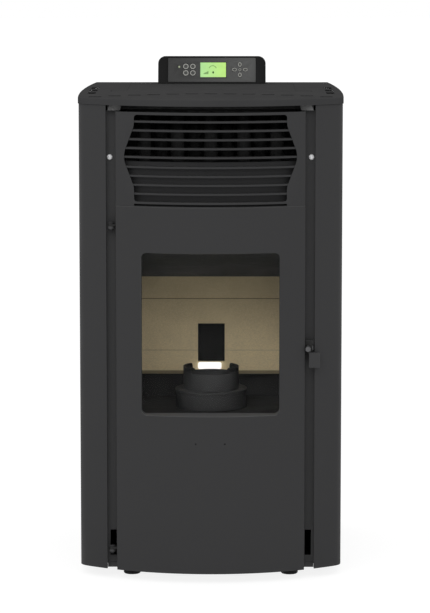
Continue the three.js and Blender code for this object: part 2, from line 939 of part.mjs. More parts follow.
function powerInlet() {
  const outside = rearPanelY + sheet + fitGap;
  const inner = outside - inletDepth;
  const half = [inletWidth / 2, inletHeight / 2];
  const rim = [half[0] + inletFlange, half[1] + inletFlange];
  const room = [half[0] - inletWall, half[1] - inletWall];
  const body = frontBlock(0, 0, ...half, [inner, outside + 1]);
  const flange = frontBlock(0, 0, ...rim, [outside, outside + inletFlangeThickness]);
  const mouth = frontBlock(0, 0, ...room, [inner + inletWall, outside + inletFlangeThickness + 1]);
  const pins = inletPinRise.map((rise, index) => (
    frontBlock((index - 1) * inletPinPitch, rise, 1, 2, [inner + 1, outside - 2])
  ));
  return unite(body, flange).subtract(mouth).add(unite(...pins));
}

addPiece('rear_panel', rearPanel(), casingPaint());
addPiece('power_inlet', powerInlet(), blackPlastic()).position.set(socketX, 0, inletZ);

// The rocker turns about a level axis at the middle of the panel's thickness.
function rocker() {
  const half = rockerHeight / 2;
  const outline = [
    at(-rockerDepth / 2, -half),
    at(rockerDepth / 2 - 3, -half),
    at(rockerDepth / 2 - 4.5, 0),
    at(rockerDepth / 2 - 3, half),
    at(-rockerDepth / 2, half),
  ];
  return carryAcross(outline, -rockerWidth / 2, rockerWidth / 2);
}

addPiece('power_switch', rocker(), blackPlastic()).position.set(socketX, rearPanelY + sheet / 2, switchZ);

function controlBoard() {
  const rear = -boardStandoff;
  const front = rear - boardThickness;
  const halfWidth = boardWidth / 2;
  const halfHeight = boardHeight / 2;
  const card = block([-halfWidth, halfWidth], [front, rear], [-halfHeight, halfHeight]);
  const postX = halfWidth - boardPostSetIn;
  const postZ = halfHeight - boardPostSetIn;
  const posts = [[-postX, -postZ], [postX, -postZ], [-postX, postZ], [postX, postZ]]
    .map(([x, z]) => rodAlongY(boardPostRadius, rear - 1, 0, x, z, smallFacets));
  const onCard = (piece, index = 0) => {
    const left = piece.x + index * (piece.pitch ?? 0);
    return block(
      [left, left + piece.width],
      [front - piece.depth, front + 1],
      [piece.z, piece.z + piece.height],
    );
  };
  const rowOf = (piece) => Array.from({ length: piece.count }, (_, index) => onCard(piece, index));
  return unite(card, ...posts, onCard(transformer), ...rowOf(relay), ...rowOf(plug));
}

addPiece('control_board', controlBoard(), greenBoard())
  .position.set(boardX, rearPanelY - fitGap, boardZ);

// ---------------------------------------------------------------- top plate and hopper

function ventSlots() {
  const slots = [];
  const through = [topEdgeBottom, topSurface + 1];
  for (let index = 0; index < ventCount; index += 1) {
    const x = (index - (ventCount - 1) / 2) * ventPitch;
    const y = ventMiddleY - ventArcFall * (x / ventArcReach) ** 2;
    slots.push(slotBlock(x, y, ventWidth, ventDepth, through));
  }
  for (let index = 0; index < sideVentCount; index += 1) {
    const y = sideVentFirstY + index * sideVentPitch;
    slots.push(slotBlock(-sideVentX, y, sideVentWidth, sideVentLength, through));
    slots.push(slotBlock(sideVentX, y, sideVentWidth, sideVentLength, through));
  }
  return slots;
}

// An upright slot with cut corners.
function slotBlock(x, y, width, length, heights) {
  const corner = ventCorner;
  const halfW = width / 2;
  const halfL = length / 2;
  const plan = [
    at(x - halfW + corner, y - halfL),
    at(x + halfW - corner, y - halfL),
    at(x + halfW, y - halfL + corner),
    at(x + halfW, y + halfL - corner),
    at(x + halfW - corner, y + halfL),
    at(x - halfW + corner, y + halfL),
    at(x - halfW, y + halfL - corner),
    at(x - halfW, y - halfL + corner),
  ];
  return raise(plan, ...heights);
}

const lidAxisY = mouthRearY - lidAxisSetIn;

function topPlate() {
  const rear = bodyDepth + topOverhang;
  const underside = topSurface - topSheet;
  const slab = raise(casingPlan(-topOverhang, rear), topEdgeBottom, topSurface);
  const rim = sheet - topOverhang;
  const hollow = raise(casingPlan(rim, rear - sheet), topEdgeBottom - 1, underside);
  const mouth = [-mouthHalfWidth, mouthHalfWidth];
  const skirtX = [mouth[0] - sheet, mouth[1] + sheet];
  const skirt = block(skirtX, [mouthFrontY - sheet, mouthRearY + sheet], [topEdgeBottom, underside + 1]);
  const opening = block(mouth, [mouthFrontY, mouthRearY], [topEdgeBottom - 1, topSurface + 1]);
  const pinReach = mouthHalfWidth + sheet + lidPinReach;
  const holeRadius = lidPinRadius + fitGap;
  const pinHoles = rodAlongX(holeRadius, -pinReach, pinReach, lidAxisY, lidAxisHeight, smallFacets);
  const beadTop = [topSurface - beadDepth, topSurface + 1];
  const beadRearY = mouthFrontY + beadWidth / 2;
  const beads = [-1, 1].flatMap((side) => {
    const from = Math.min(side * mouthHalfWidth, side * beadHalfWidth);
    const to = Math.max(side * mouthHalfWidth, side * beadHalfWidth);
    const end = side * (beadHalfWidth - beadWidth / 2);
    return [
      block([from, to], [beadRearY - beadWidth, beadRearY], beadTop),
      block([end - beadWidth / 2, end + beadWidth / 2], [beadRearY - beadTurnLength, beadRearY], beadTop),
    ];
  });
  return cut(unite(slab.subtract(hollow), skirt), opening, pinHoles, ...ventSlots(), ...beads);
}

function hopperLid() {
  const halfWidth = mouthHalfWidth - fitGap;
  const rearY = lidAxisY + lidRearOverlap;
  const frontY = mouthFrontY + fitGap;
  const bottom = topEdgeBottom;
  const leaf = block([-halfWidth, halfWidth], [frontY, rearY], [topSurface - topSheet, topSurface]);
  const rimHalf = halfWidth - lidRimInset;
  const rimY = [frontY + lidRimInset, lidAxisY + 1];
  const rim = block([-rimHalf, rimHalf], rimY, [bottom, topSurface - 1]);
  const inner = rimHalf - sheet;
  const hollowY = [rimY[0] + sheet, rimY[1] - sheet];
  const hollow = block([-inner, inner], hollowY, [bottom - 1, topSurface - topSheet]);
  const pinEnd = mouthHalfWidth + lidPinReach;
  const pins = [-1, 1].map((side) => rodAlongX(
    lidPinRadius,
    Math.min(side * (rimHalf - 1), side * pinEnd),
    Math.max(side * (rimHalf - 1), side * pinEnd),
    lidAxisY,
    lidAxisHeight,
    smallFacets,
  ));
  return unite(leaf, rim.subtract(hollow), ...pins);
}

// Level rectangles joined into one funnel; each is [halfWidth, frontY, rearY, z].
function funnel(levels) {
  const positions = [];
  const faces = [];
  levels.forEach(([halfWidth, front, rear, z]) => {
    positions.push(-halfWidth, front, z, halfWidth, front, z, halfWidth, rear, z, -halfWidth, rear, z);
  });
  for (let level = 0; level + 1 < levels.length; level += 1) {
    for (let side = 0; side < 4; side += 1) {
      const a = level * 4 + side;
      const b = level * 4 + ((side + 1) % 4);
      faces.push(a, b, b + 4, a, b + 4, a + 4);
    }
  }
  const last = (levels.length - 1) * 4;
  faces.push(0, 2, 1, 0, 3, 2, last, last + 1, last + 2, last, last + 2, last + 3);
  const geometry = new THREE.BufferGeometry();
  geometry.setAttribute('position', new THREE.Float32BufferAttribute(positions, 3));
  geometry.setIndex(faces);
  return solidOf(geometry);
}

const hopperTop = topEdgeBottom - fitGap;
const hopperOutletBottom = feedCollarTop + fitGap;

function hopperLevels(wall, extra) {
  const outlet = [hopperOutletHalfWidth - wall, hopperOutletFrontY + wall, hopperOutletRearY - wall];
  return [
    [...outlet, hopperOutletBottom - extra],
    [...outlet, hopperTaperBottom],
    [hopperHalfWidth - wall, hopperBodyFrontY + wall, hopperRearY - wall, hopperTaperTop],
    [hopperHalfWidth - wall, hopperFrontY + wall, hopperRearY - wall, hopperShoulderTop],
    [hopperHalfWidth - wall, hopperFrontY + wall, hopperRearY - wall, hopperTop + extra],
  ];
}

function hopper() {
  const flangeHalf = hopperHalfWidth + hopperFlange;
  const flangeY = [hopperFrontY - hopperFlange, hopperRearY + hopperFlange];
  const flange = block([-flangeHalf, flangeHalf], flangeY, [hopperTop - sheet, hopperTop]);
  return unite(funnel(hopperLevels(0, 0)), flange).subtract(funnel(hopperLevels(sheet, 1)));
}

addPiece('top_plate', topPlate(), topPaint());
addPiece('hopper_lid', hopperLid(), topPaint());
addPiece('hopper', hopper(), galvanised());

// ---------------------------------------------------------------- pellet feed

// The feed group's local Z runs up along the auger, from the foot of its tube.
const feed = new THREE.Group();
feed.position.set(0, augerFootY, augerFootZ);
feed.rotation.x = radians(90 - augerIncline);
stove.add(feed);
const feedTilt = 90 - augerIncline;

// Brings a solid drawn in stove coordinates into the feed group's.
function intoFeed(solid) {
  return solid.translate([0, -augerFootY, -augerFootZ]).rotate([-feedTilt, 0, 0]);
}

// The hollow of the chute seen from the side: level at its mouth, then up and back.
function chuteInside() {
  const mouthFront = fireboxRearY - chuteMouthReach;
  const mouthRear = fireboxRearY + chuteMouthStraight;
  return [
    at(mouthFront, chuteBottom),
    at(mouthRear, chuteBottom),
    at(chuteBackY, chuteTop + chuteBackBottom),
    at(chuteBackY, chuteTop + chuteBackTop),
    at(chuteShoulderY, chuteTop + chuteShoulderTop),
    at(chuteKneeY, chuteTop + chuteKneeHead),
    at(chuteKneeY, chuteTop + chuteKneeTop),
    at(mouthRear, chuteTop),
    at(mouthFront, chuteTop),
  ];
}

function feedTube() {
  const inside = augerTubeRadius - augerTubeWall;
  const barrel = rodAlongZ(augerTubeRadius, 0, augerTubeLength);
  const bore = rodAlongZ(inside, -1, augerTubeLength - augerTubeWall);
  const wall = augerTubeWall;
  const chute = carryAcross(grown(chuteInside(), wall), -chuteHalfWidth - wall, chuteHalfWidth + wall);
  const chuteBore = carryAcross(chuteInside(), -chuteHalfWidth, chuteHalfWidth);
  const behindWall = block([-60, 60], [fireboxRearY + fitGap, bodyDepth], [300, 700]);
  const collarX = [-hopperOutletHalfWidth, hopperOutletHalfWidth];
  const collarY = [hopperOutletFrontY, hopperOutletRearY];
  const collarFoot = augerFootZ + feedCollarRise;
  const collar = block(collarX, collarY, [collarFoot, feedCollarTop]);
  const collarBore = block(
    [collarX[0] + sheet, collarX[1] - sheet],
    [collarY[0] + sheet, collarY[1] - sheet],
    [collarFoot - 5, feedCollarTop + 1],
  );
  const outside = unite(barrel, intoFeed(chute.intersect(behindWall)), intoFeed(collar));
  return cut(outside, bore, intoFeed(chuteBore), intoFeed(collarBore));
}

// One unbroken flight: a thin spiral ramp whose inner edge is buried in the shaft.
function augerFlight(length) {
  const stepsPerTurn = 9;
  const steps = Math.round((length / augerFlightPitch) * stepsPerTurn);
  const inner = augerShaftRadius - 2;
  const positions = [];
  const faces = [];
  for (let step = 0; step <= steps; step += 1) {
    const angle = (step / stepsPerTurn) * Math.PI * 2;
    const z = (step / stepsPerTurn) * augerFlightPitch;
    for (const [radius, rise] of [[inner, 0], [augerScrewRadius, 0], [augerScrewRadius, 1], [inner, 1]]) {
      positions.push(radius * Math.cos(angle), radius * Math.sin(angle), z + rise * augerFlightThickness);
    }
  }
  for (let step = 0; step < steps; step += 1) {
    for (let side = 0; side < 4; side += 1) {
      const a = step * 4 + side;
      const b = step * 4 + ((side + 1) % 4);
      faces.push(a, b + 4, b, a, a + 4, b + 4);
    }
  }
  const last = steps * 4;
  faces.push(0, 1, 2, 0, 2, 3, last, last + 2, last + 1, last, last + 3, last + 2);
  const geometry = new THREE.BufferGeometry();
  geometry.setAttribute('position', new THREE.Float32BufferAttribute(positions, 3));
  geometry.setIndex(faces);
  return solidOf(geometry);
}

function augerScrew() {
  const top = augerTubeLength - augerTubeWall - augerEndGap;
  const shaft = rodAlongZ(augerShaftRadius, -augerCoupling, top, 12);
  const flight = augerFlight(top - augerFlightThickness - 2 * augerEndGap).translate([0, 0, augerEndGap]);
  return unite(shaft, flight);
}

function augerMotor() {
  const faceTop = -fitGap;
  const half = motorFlange / 2;
  const flange = block([-half, half], [-half, half], [faceTop - motorFlangeThickness, faceTop]);
  const box = gearboxSize / 2;
  const gearTop = faceTop - motorFlangeThickness;
  const gears = block([-box, box], [-box, box], [gearTop - gearboxLength, gearTop + 1]);
  const canTop = gearTop - gearboxLength;
  const can = rodAlongZ(motorCanRadius, canTop - motorCanLength, canTop + 1, 20);
  const bore = rodAlongZ(augerShaftRadius + fitGap, -augerCoupling - 2, 1, 12);
  return unite(flange, gears, can).subtract(bore);
}

addPiece('feed_tube', feedTube(), innerSteel(), feed);
addPiece('auger_screw', augerScrew(), galvanised(), feed);
addPiece('auger_motor', augerMotor(), blackPlastic(), feed);

// ---------------------------------------------------------------- firebox

const facePlateBottom = basePanTop + fitGap;

function firebox() {
  const outerX = [-fireboxHalfWidth, fireboxHalfWidth];
  const innerX = [-fireboxHalfWidth + weldPlate, fireboxHalfWidth - weldPlate];
  const outer = block(outerX, [fireboxFrontY, fireboxRearY], [fireboxBottom, fireboxTop]);
  const upper = block(
    innerX,
    [fireboxFrontY + weldPlate, fireboxRearY - weldPlate],
    [fireboxFloorTop, fireboxTop - weldPlate],
  );
  const lower = block(
    innerX,
    [fireboxFrontY + weldPlate, fireboxRearY - weldPlate],
    [fireboxBottom + weldPlate, fireboxFloorTop - weldPlate],
  );
  const facePlate = block(
    [-facePlateHalfWidth, facePlateHalfWidth],
    [facePlateY, fireboxFrontY],
    [facePlateBottom, facePlateTop],
  );
  const through = [facePlateY - 1, fireboxFrontY + weldPlate + 1];
  const fireX = [-fireOpeningHalf, fireOpeningHalf];
  const fireOpening = block(fireX, through, [fireboxFloorTop, fireOpeningTop]);
  const ashOpening = block(fireX, through, [fireboxBottom + weldPlate, ashOpeningTop]);
  const chamber = block(
    [-airChamberHalf, airChamberHalf],
    [airChamberFrontY, fireboxRearY - 1],
    [airChamberBottom, fireboxFloorTop - 1],
  );
  const chamberInside = block(
    [-airChamberHalf + weldPlate, airChamberHalf - weldPlate],
    [airChamberFrontY + weldPlate, fireboxRearY - weldPlate],
    [airChamberBottom + weldPlate, fireboxFloorTop - weldPlate],
  );
  const rearThrough = [fireboxRearY - weldPlate - 1, fireboxRearY + 1];
  const airPort = rodAlongY(airPipeRadius - airPipeWall, ...rearThrough, airPipeX, airPipeZ);
  const potPort = rodAlongZ(airHoleRadius, fireboxFloorTop - 10, fireboxFloorTop + 1)
    .translate([0, potCentreY, 0]);
  const chuteMouth = block([-chuteHalfWidth, chuteHalfWidth], rearThrough, [chuteBottom, chuteTop]);
  const igniterPort = rodAlongY(
    igniterStemRadius + fitGap,
    ...rearThrough,
    igniterX,
    (igniterBottom + igniterTop) / 2,
    smallFacets,
  );
  const ledge = block(
    innerX,
    [boardFrontY, fireboxRearY - 1],
    [linerBottom - fitGap - linerLedge, linerBottom - fitGap],
  );
  const shell = cut(outer, upper, lower);
  const body = unite(shell, facePlate, chamber, ledge);
  return cut(
    body,
    fireOpening,
    ashOpening,
    chamberInside,
    airPort,
    potPort,
    chuteMouth,
    igniterPort,
    gasWindow(),
    ...tubePorts(fireboxTop - 10, fireboxTop + 1),
  );
}

// The duct behind the firebox that leads the smoke down to the exhaust blower, open at its front.
function smokeDuct() {
  const front = fireboxRearY + fitGap;
  const outer = block([ductLeftX, ductRightX], [front, ductRearY], [ductBottomZ, ductTopZ]);
  const hollow = block(
    [ductLeftX + sheet, ductRightX - sheet],
    [front - 1, ductRearY - sheet],
    [ductBottomZ + sheet, ductTopZ - sheet],
  );
  const port = rodAlongY(blowerInletRadius, ductRearY - sheet - 1, ductRearY + 1, blowerX, flueZ);
  return cut(outer, hollow, port);
}

function gasWindow() {
  const x = [ductLeftX + gasWindowMargin, ductRightX - gasWindowMargin];
  const y = [fireboxRearY - weldPlate - 1, fireboxRearY + 1];
  return block(x, y, [gasWindowBottom, ductTopZ - gasWindowMargin]);
}

addPiece('firebox', firebox(), innerSteel());
addPiece('smoke_duct', smokeDuct(), innerSteel());

function linerBoard(bottom, top) {
  const halfWidth = fireboxHalfWidth - weldPlate - fitGap;
  const board = block([-halfWidth, halfWidth], [boardFrontY, boardFrontY + liner], [bottom, top]);
  const through = [boardFrontY - 1, boardFrontY + liner + 1];
  const chuteMouth = block([-chuteHalfWidth, chuteHalfWidth], through, [chuteBottom, chuteTop]);
  const stemHole = rodAlongY(
    igniterStemRadius + fitGap,
    ...through,
    igniterX,
    (igniterBottom + igniterTop) / 2,
    smallFacets,
  );
  return cut(board, chuteMouth, stemHole);
}

addPiece('liner_lower', linerBoard(linerBottom, linerJointLow), boardLiner());
addPiece('liner_middle', linerBoard(linerJointLow + fitGap, linerJointHigh), boardLiner());
addPiece('liner_upper', linerBoard(linerJointHigh + fitGap, linerTop), boardLiner());

function baffle() {
  const halfWidth = fireboxHalfWidth - weldPlate - fitGap;
  const rearY = fireboxRearY - weldPlate - fitGap;
  const line = [
    at(rearY, linerTop + fitGap + sheet),
    at(boardFrontY - 1, linerTop + fitGap + sheet),
    at(baffleFrontY, baffleFrontZ),
    at(baffleFrontY, baffleFrontZ + baffleLip),
  ];
  return carryAcross(foldedStrip(line, sheet), -halfWidth, halfWidth);
}

addPiece('firebox_baffle', baffle(), innerSteel());

function igniter() {
  const middle = (igniterBottom + igniterTop) / 2;
  const half = igniterWidth / 2;
  const low = igniterBottom - middle;
  const high = igniterTop - middle;
  const shape = new THREE.Shape([
    at(-half + igniterCut, low),
    at(half - igniterCut, low),
    at(half, low + igniterCut),
    at(half, high - igniterCut / 2),
    at(half - igniterCut / 2, high),
    at(-half + igniterCut / 2, high),
    at(-half, high - igniterCut / 2),
    at(-half, low + igniterCut),
  ]);
  const rear = boardFrontY - fitGap;
  const head = carryBack(shape, rear - igniterDepth, rear);
  const stem = rodAlongY(igniterStemRadius, rear - 1, rear + igniterStemLength, 0, 0, smallFacets);
  return unite(head, stem);
}

addPiece('igniter', igniter(), whiteCeramic()).position.set(igniterX, 0, (igniterBottom + igniterTop) / 2);

// ---------------------------------------------------------------- burn pot

const ringBottom = fireboxFloorTop + fitGap;
const potBottom = ringBottom + ringShelf + fitGap;

function supportRing() {
  return turnedRing([
    [airHoleRadius, ringBottom],
    [ringRadius - 2, ringBottom],
    [ringRadius - 2, ringTop - 6],
    [ringRadius, ringTop - 5],
    [ringRadius, ringTop],
    [potRadius + fitGap, ringTop],
    [potRadius + fitGap, ringBottom + ringShelf],
    [airHoleRadius, ringBottom + ringShelf],
  ]);
}

// A turned body whose closed profile stays off the axis.
function turnedRing(profile) {
  return turned([...profile, profile[0]]);
}

function burnPot() {
  const crown = potRim + potEarRise;
  const inner = potRadius - potWall;
  const cup = turned([
    [0, potBottom],
    [potRadius, potBottom],
    [potRadius, crown],
    [inner, crown],
    [inner, potBottom + potFloor],
    [0, potBottom + potFloor],
  ]);
  const lowRim = [potRim, crown + 1];
  const reach = potRadius + 1;
  const frontCut = block([-reach, reach], [-reach, -potEarHalfWidth], lowRim);
  const rearCut = block([-reach, reach], [potEarHalfWidth, reach], lowRim);
  const holes = Array.from({ length: potHoleCount }, (_, index) => {
    const angle = (index / potHoleCount) * Math.PI * 2;
    return rodAlongZ(potHoleRadius, potBottom - 1, potBottom + potFloor + 1, 8)
      .translate([potHoleCircle * Math.cos(angle), potHoleCircle * Math.sin(angle), 0]);
  });
  return cut(cup, frontCut, rearCut, ...holes);
}

addPiece('pot_support', supportRing(), castIron()).position.y = potCentreY;
addPiece('burn_pot', burnPot(), castIron()).position.y = potCentreY;

// ---------------------------------------------------------------- ash drawer

function ashDrawer() {
  const bottom = fireboxBottom + weldPlate + fitGap;
  const x = [-drawerHalfWidth, drawerHalfWidth];
  const tub = block(x, [drawerFrontY, drawerRearY], [bottom, bottom + drawerHeight]);
  const inside = block(
    [x[0] + drawerSheet, x[1] - drawerSheet],
    [drawerFrontY + drawerSheet, drawerRearY - drawerSheet],
    [bottom + drawerSheet, bottom + drawerHeight + 1],
  );
  const gripZ = bottom + drawerHeight - drawerGripHeight - drawerGripSetDown;
  const grip = block(
    [-drawerGripWidth / 2, drawerGripWidth / 2],
    [drawerFrontY - drawerGripReach, drawerFrontY + 1],
    [gripZ, gripZ + drawerGripHeight],
  );
  return unite(tub.subtract(inside), grip);
}

addPiece('ash_drawer', ashDrawer(), innerSteel());

// ---------------------------------------------------------------- heat exchanger

function tubePlaces() {
  const places = [];
  for (let index = 0; index < exchangerTubes; index += 1) {
    places.push([(index - (exchangerTubes - 1) / 2) * exchangerTubePitch, exchangerRowOneY]);
  }
  for (let index = 0; index + 1 < exchangerTubes; index += 1) {
    places.push([(index - (exchangerTubes - 2) / 2) * exchangerTubePitch, exchangerRowTwoY]);
  }
  return places;
}

function tubePorts(bottom, top) {
  const bore = exchangerTubeRadius - exchangerTubeWall;
  return tubePlaces().map(([x, y]) => rodAlongZ(bore, bottom, top, 12).translate([x, y, 0]));
}

function heatExchanger() {
  const bottom = fireboxTop + fitGap;
  const x = [-exchangerHalfWidth, exchangerHalfWidth];
  const lowPlate = block(x, [fireboxFrontY, exchangerRearY], [bottom, bottom + weldPlate]);
  const topFrontY = exchangerRowOneY - exchangerTopSetBack;
  const highPlate = block(x, [topFrontY, exchangerRearY], [exchangerTop - weldPlate, exchangerTop]);
  const backPlate = block(x, [exchangerRearY - weldPlate, exchangerRearY], [bottom, exchangerTop]);
  const tubes = tubePlaces().map(([tubeX, tubeY]) => (
    rodAlongZ(exchangerTubeRadius, bottom, exchangerTop, 12).translate([tubeX, tubeY, 0])
  ));
  const ports = tubePorts(bottom - 1, exchangerTop - weldPlate);
  return cut(unite(lowPlate, highPlate, backPlate, ...tubes), ...ports);
}

addPiece('heat_exchanger', heatExchanger(), innerSteel());

// ---------------------------------------------------------------- exhaust blower and flue

const blowerFrontY = ductRearY + fitGap;
const blowerRearY = blowerFrontY + blowerDepth;

function exhaustBlower() {
  const w = blowerWall;
  const neckHalf = flueRadius - blowerNeckSetIn;
  const scroll = rodAlongY(blowerRadius, blowerFrontY, blowerRearY, blowerX, flueZ);
  const pipe = rodAlongY(flueRadius, blowerFrontY, flueEndY, flueX, flueZ);
  const neck = block([flueX, blowerX], [blowerFrontY, blowerRearY], [flueZ - neckHalf, flueZ + neckHalf]);
  const scrollInside = rodAlongY(blowerRadius - w, blowerFrontY + w, blowerRearY - w, blowerX, flueZ);
  const pipeInside = rodAlongY(flueRadius - flueWall, blowerFrontY + w, flueEndY + 1, flueX, flueZ);
  const neckInside = block(
    [flueX, blowerX],
    [blowerFrontY + w, blowerRearY - w],
    [flueZ - neckHalf + w, flueZ + neckHalf - w],
  );
  const inlet = rodAlongY(blowerInletRadius, blowerFrontY - 1, blowerFrontY + w + 1, blowerX, flueZ);
  const can = rodAlongY(blowerMotorRadius, blowerRearY - 1, blowerRearY + blowerMotorLength, blowerX, flueZ);
  const shaftHole = rodAlongY(
    impellerShaftRadius + fitGap,
    blowerRearY - w - 1,
    blowerRearY + blowerMotorLength / 2 + 1,
    blowerX,
    flueZ,
    smallFacets,
  );
  return cut(unite(scroll, pipe, neck, can), scrollInside, pipeInside, neckInside, inlet, shaftHole);
}

// The impeller: radial blades on a back disc, with its shaft running into the motor.
function exhaustImpeller() {
  const discRear = blowerRearY - blowerWall - impellerRearRoom;
  const disc = rodAlongY(impellerRadius, discRear - impellerDisc, discRear, 0, 0);
  const shaft = rodAlongY(
    impellerShaftRadius,
    discRear - impellerDepth,
    blowerRearY + blowerMotorLength / 2,
    0,
    0,
    smallFacets,
  );
  const blades = Array.from({ length: impellerBlades }, (_, index) => (
    block(
      [0, impellerRadius],
      [discRear - impellerDepth, discRear - 1],
      [-bladeThickness / 2, bladeThickness / 2],
    ).rotate([0, (index * 360) / impellerBlades, 0])
  ));
  return unite(disc, shaft, ...blades);
}

addPiece('exhaust_blower', exhaustBlower(), castAluminium());
addPiece('exhaust_impeller', exhaustImpeller(), galvanised()).position.set(blowerX, 0, flueZ);

function airInletPipe() {
  const front = fireboxRearY + fitGap;
  const rear = bodyDepth + airPipeStub;
  const pipe = rodAlongY(airPipeRadius, front, rear, 0, 0);
  return pipe.subtract(rodAlongY(airPipeRadius - airPipeWall, front - 1, rear + 1, 0, 0));
}

addPiece('air_inlet_pipe', airInletPipe(), galvanised()).position.set(airPipeX, 0, airPipeZ);

// ---------------------------------------------------------------- room fan

function roomFanHousing() {
  const w = fanWall;
  const drum = rodAlongX(fanScrollRadius, fanLeftX, fanRightX, 0, 0);
  const ductTop = fanScrollRadius + fanOutletHeight;
  const ductY = [-fanScrollRadius, -fanScrollRadius + fanOutletDepth];
  const duct = block([fanLeftX, fanRightX], ductY, [0, ductTop]);
  const drumInside = rodAlongX(fanScrollRadius - w, fanLeftX + w, fanRightX - w, 0, 0);
  const ductInside = block(
    [fanLeftX + w, fanRightX - w],
    [ductY[0] + w, ductY[1] - w],
    [0, ductTop + 1],
  );
  const intake = rodAlongX(fanIntakeRadius, fanLeftX - 1, fanLeftX + w + 1, 0, 0);
  const bearing = rodAlongX(fanShaftRadius + fitGap, fanRightX - w - 1, fanRightX + 1, 0, 0, smallFacets);
  const footDrop = fanCentreZ - basePanTop - fitGap;
  const stand = block(
    [fanLeftX + fanStandSetIn, fanRightX - fanStandSetIn],
    [-fanStandHalfDepth, fanStandHalfDepth],
    [-footDrop, -fanScrollRadius + fanStandLap],
  );
  const shell = unite(drum, duct, stand);
  return cut(shell, drumInside, ductInside, intake, bearing);
}

function roomFanRotor() {
  const left = fanLeftX + fanWall + fanEndRoom;
  const right = fanRightX - fanWall - fanEndRoom;
  const hubDisc = rodAlongX(fanDrumRadius, right - fanDisc, right, 0, 0);
  const endRing = rodAlongX(fanDrumRadius, left, left + fanDisc, 0, 0)
    .subtract(rodAlongX(fanDrumRadius - fanDrumWall, left - 1, left + fanDisc + 1, 0, 0));
  const shaftEnd = fanRightX + fanShaftStub;
  const shaft = rodAlongX(fanShaftRadius, right - fanShaftInside, shaftEnd, 0, 0, smallFacets);
  const blades = Array.from({ length: fanBlades }, (_, index) => (
    block([left + 1, right - 1], [fanDrumRadius - fanDrumWall, fanDrumRadius - 1], [-1, 1])
      .rotate([(index * 360) / fanBlades, 0, 0])
  ));
  return unite(hubDisc, endRing, shaft, ...blades);
}

addPiece('room_fan_housing', roomFanHousing(), galvanised()).position.set(0, fanCentreY, fanCentreZ);
addPiece('room_fan_rotor', roomFanRotor(), blackPlastic()).position.set(0, fanCentreY, fanCentreZ);

// ---------------------------------------------------------------- convection grille

function frontGrille() {
  const bottom = doorTop + grilleGapAboveDoor;
  const rear = postFrontY - fitGap;
  const outer = bowBlock(0, grilleHalfWidth, rear, bottom, grilleTop);
  const inner = bowBlock(sheet, grilleHalfWidth - sheet, rear + 1, bottom - 1, grilleTop + 1);
  const openingTop = slatTopZ - slatThickness / 2;
  const openingBottom = slatTopZ - slatPitch * (slatCount - 1) + slatThickness / 2;
  const opening = new THREE.Shape([
    at(-grilleNarrowHalf, openingBottom),
    at(grilleNarrowHalf, openingBottom),
    at(grilleNarrowHalf, grilleShoulderBottom),
    at(grilleWideHalf, grilleWideBottom),
    at(grilleWideHalf, grilleWideTop),
    at(grilleNarrowHalf, grilleShoulderTop),
    at(grilleNarrowHalf, openingTop),
    at(-grilleNarrowHalf, openingTop),
    at(-grilleNarrowHalf, grilleShoulderTop),
    at(-grilleWideHalf, grilleWideTop),
    at(-grilleWideHalf, grilleWideBottom),
    at(-grilleNarrowHalf, grilleShoulderBottom),
  ]);
  const frame = outer.subtract(inner).subtract(carryBack(opening, -10, rear - 1));
  const slats = Array.from({ length: slatCount }, (_, index) => {
    const lift = index > 0 && index <= liftedSlats ? slatLift : 0;
    const middle = slatTopZ - index * slatPitch + lift;
    return bowBand(slatSetback, slatDepth, middle - slatThickness / 2, middle + slatThickness / 2);
  });
  const backInset = slatSetback + slatDepth - louvreBackLap;
  const back = bowBand(backInset, louvreBackThickness, bottom, louvreBackTop);
  return unite(frame, back, ...slats);
}

// A band that follows the front bow, set in from it and of a given depth.
function bowBand(inset, depth, bottom, top) {
  const rear = postFrontY;
  const whole = bowBlock(inset, slatHalfWidth, rear, bottom, top);
  const behind = bowBlock(inset + depth, slatHalfWidth + 1, rear + 1, bottom - 1, top + 1);
  return whole.subtract(behind);
}

addPiece('front_grille', frontGrille(), casingPaint());

// ---------------------------------------------------------------- door

function windowShape(extra) {
  return roundedRect(
    windowHalfWidth + extra,
    windowBottom - extra,
    windowTop + extra,
    windowCorner + Math.max(extra, 0),
  );
}

function hingeNotch(z) {
  return block(
    [-doorHalfWidth - 1, -doorHalfWidth + sheet + 1],
    [hingeY - hingeLugRadius - hingeNotchRoom, doorFlangeRearY + 1],
    [z - hingeNotchRoom, z + hingeLugThickness + hingeNotchRoom],
  );
}

const earBottom = latchZ - latchEarHeight / 2;
const earTop = latchZ + latchEarHeight / 2;

function doorSkin() {
  const outer = bowBlock(0, doorHalfWidth, doorFlangeRearY, doorBottom, doorTop);
  const inner = bowBlock(
    sheet,
    doorHalfWidth - sheet,
    doorFlangeRearY + 1,
    doorBottom + sheet,
    doorTop - sheet,
  );
  const revealRear = glassFrontY - fitGap;
  const reveal = carryBack(windowShape(sheet), -10, revealRear).intersect(outer);
  const opening = carryBack(windowShape(0), -11, revealRear + 1);
  const earNotch = block(
    [doorHalfWidth - sheet - 1, doorHalfWidth + 1],
    [doorPlateY - 1, doorFlangeRearY + 1],
    [earBottom - 1, earTop + 1],
  );
  const body = unite(outer.subtract(inner), reveal);
  return cut(body, opening, earNotch, ...hingeLevels.map(hingeNotch));
}

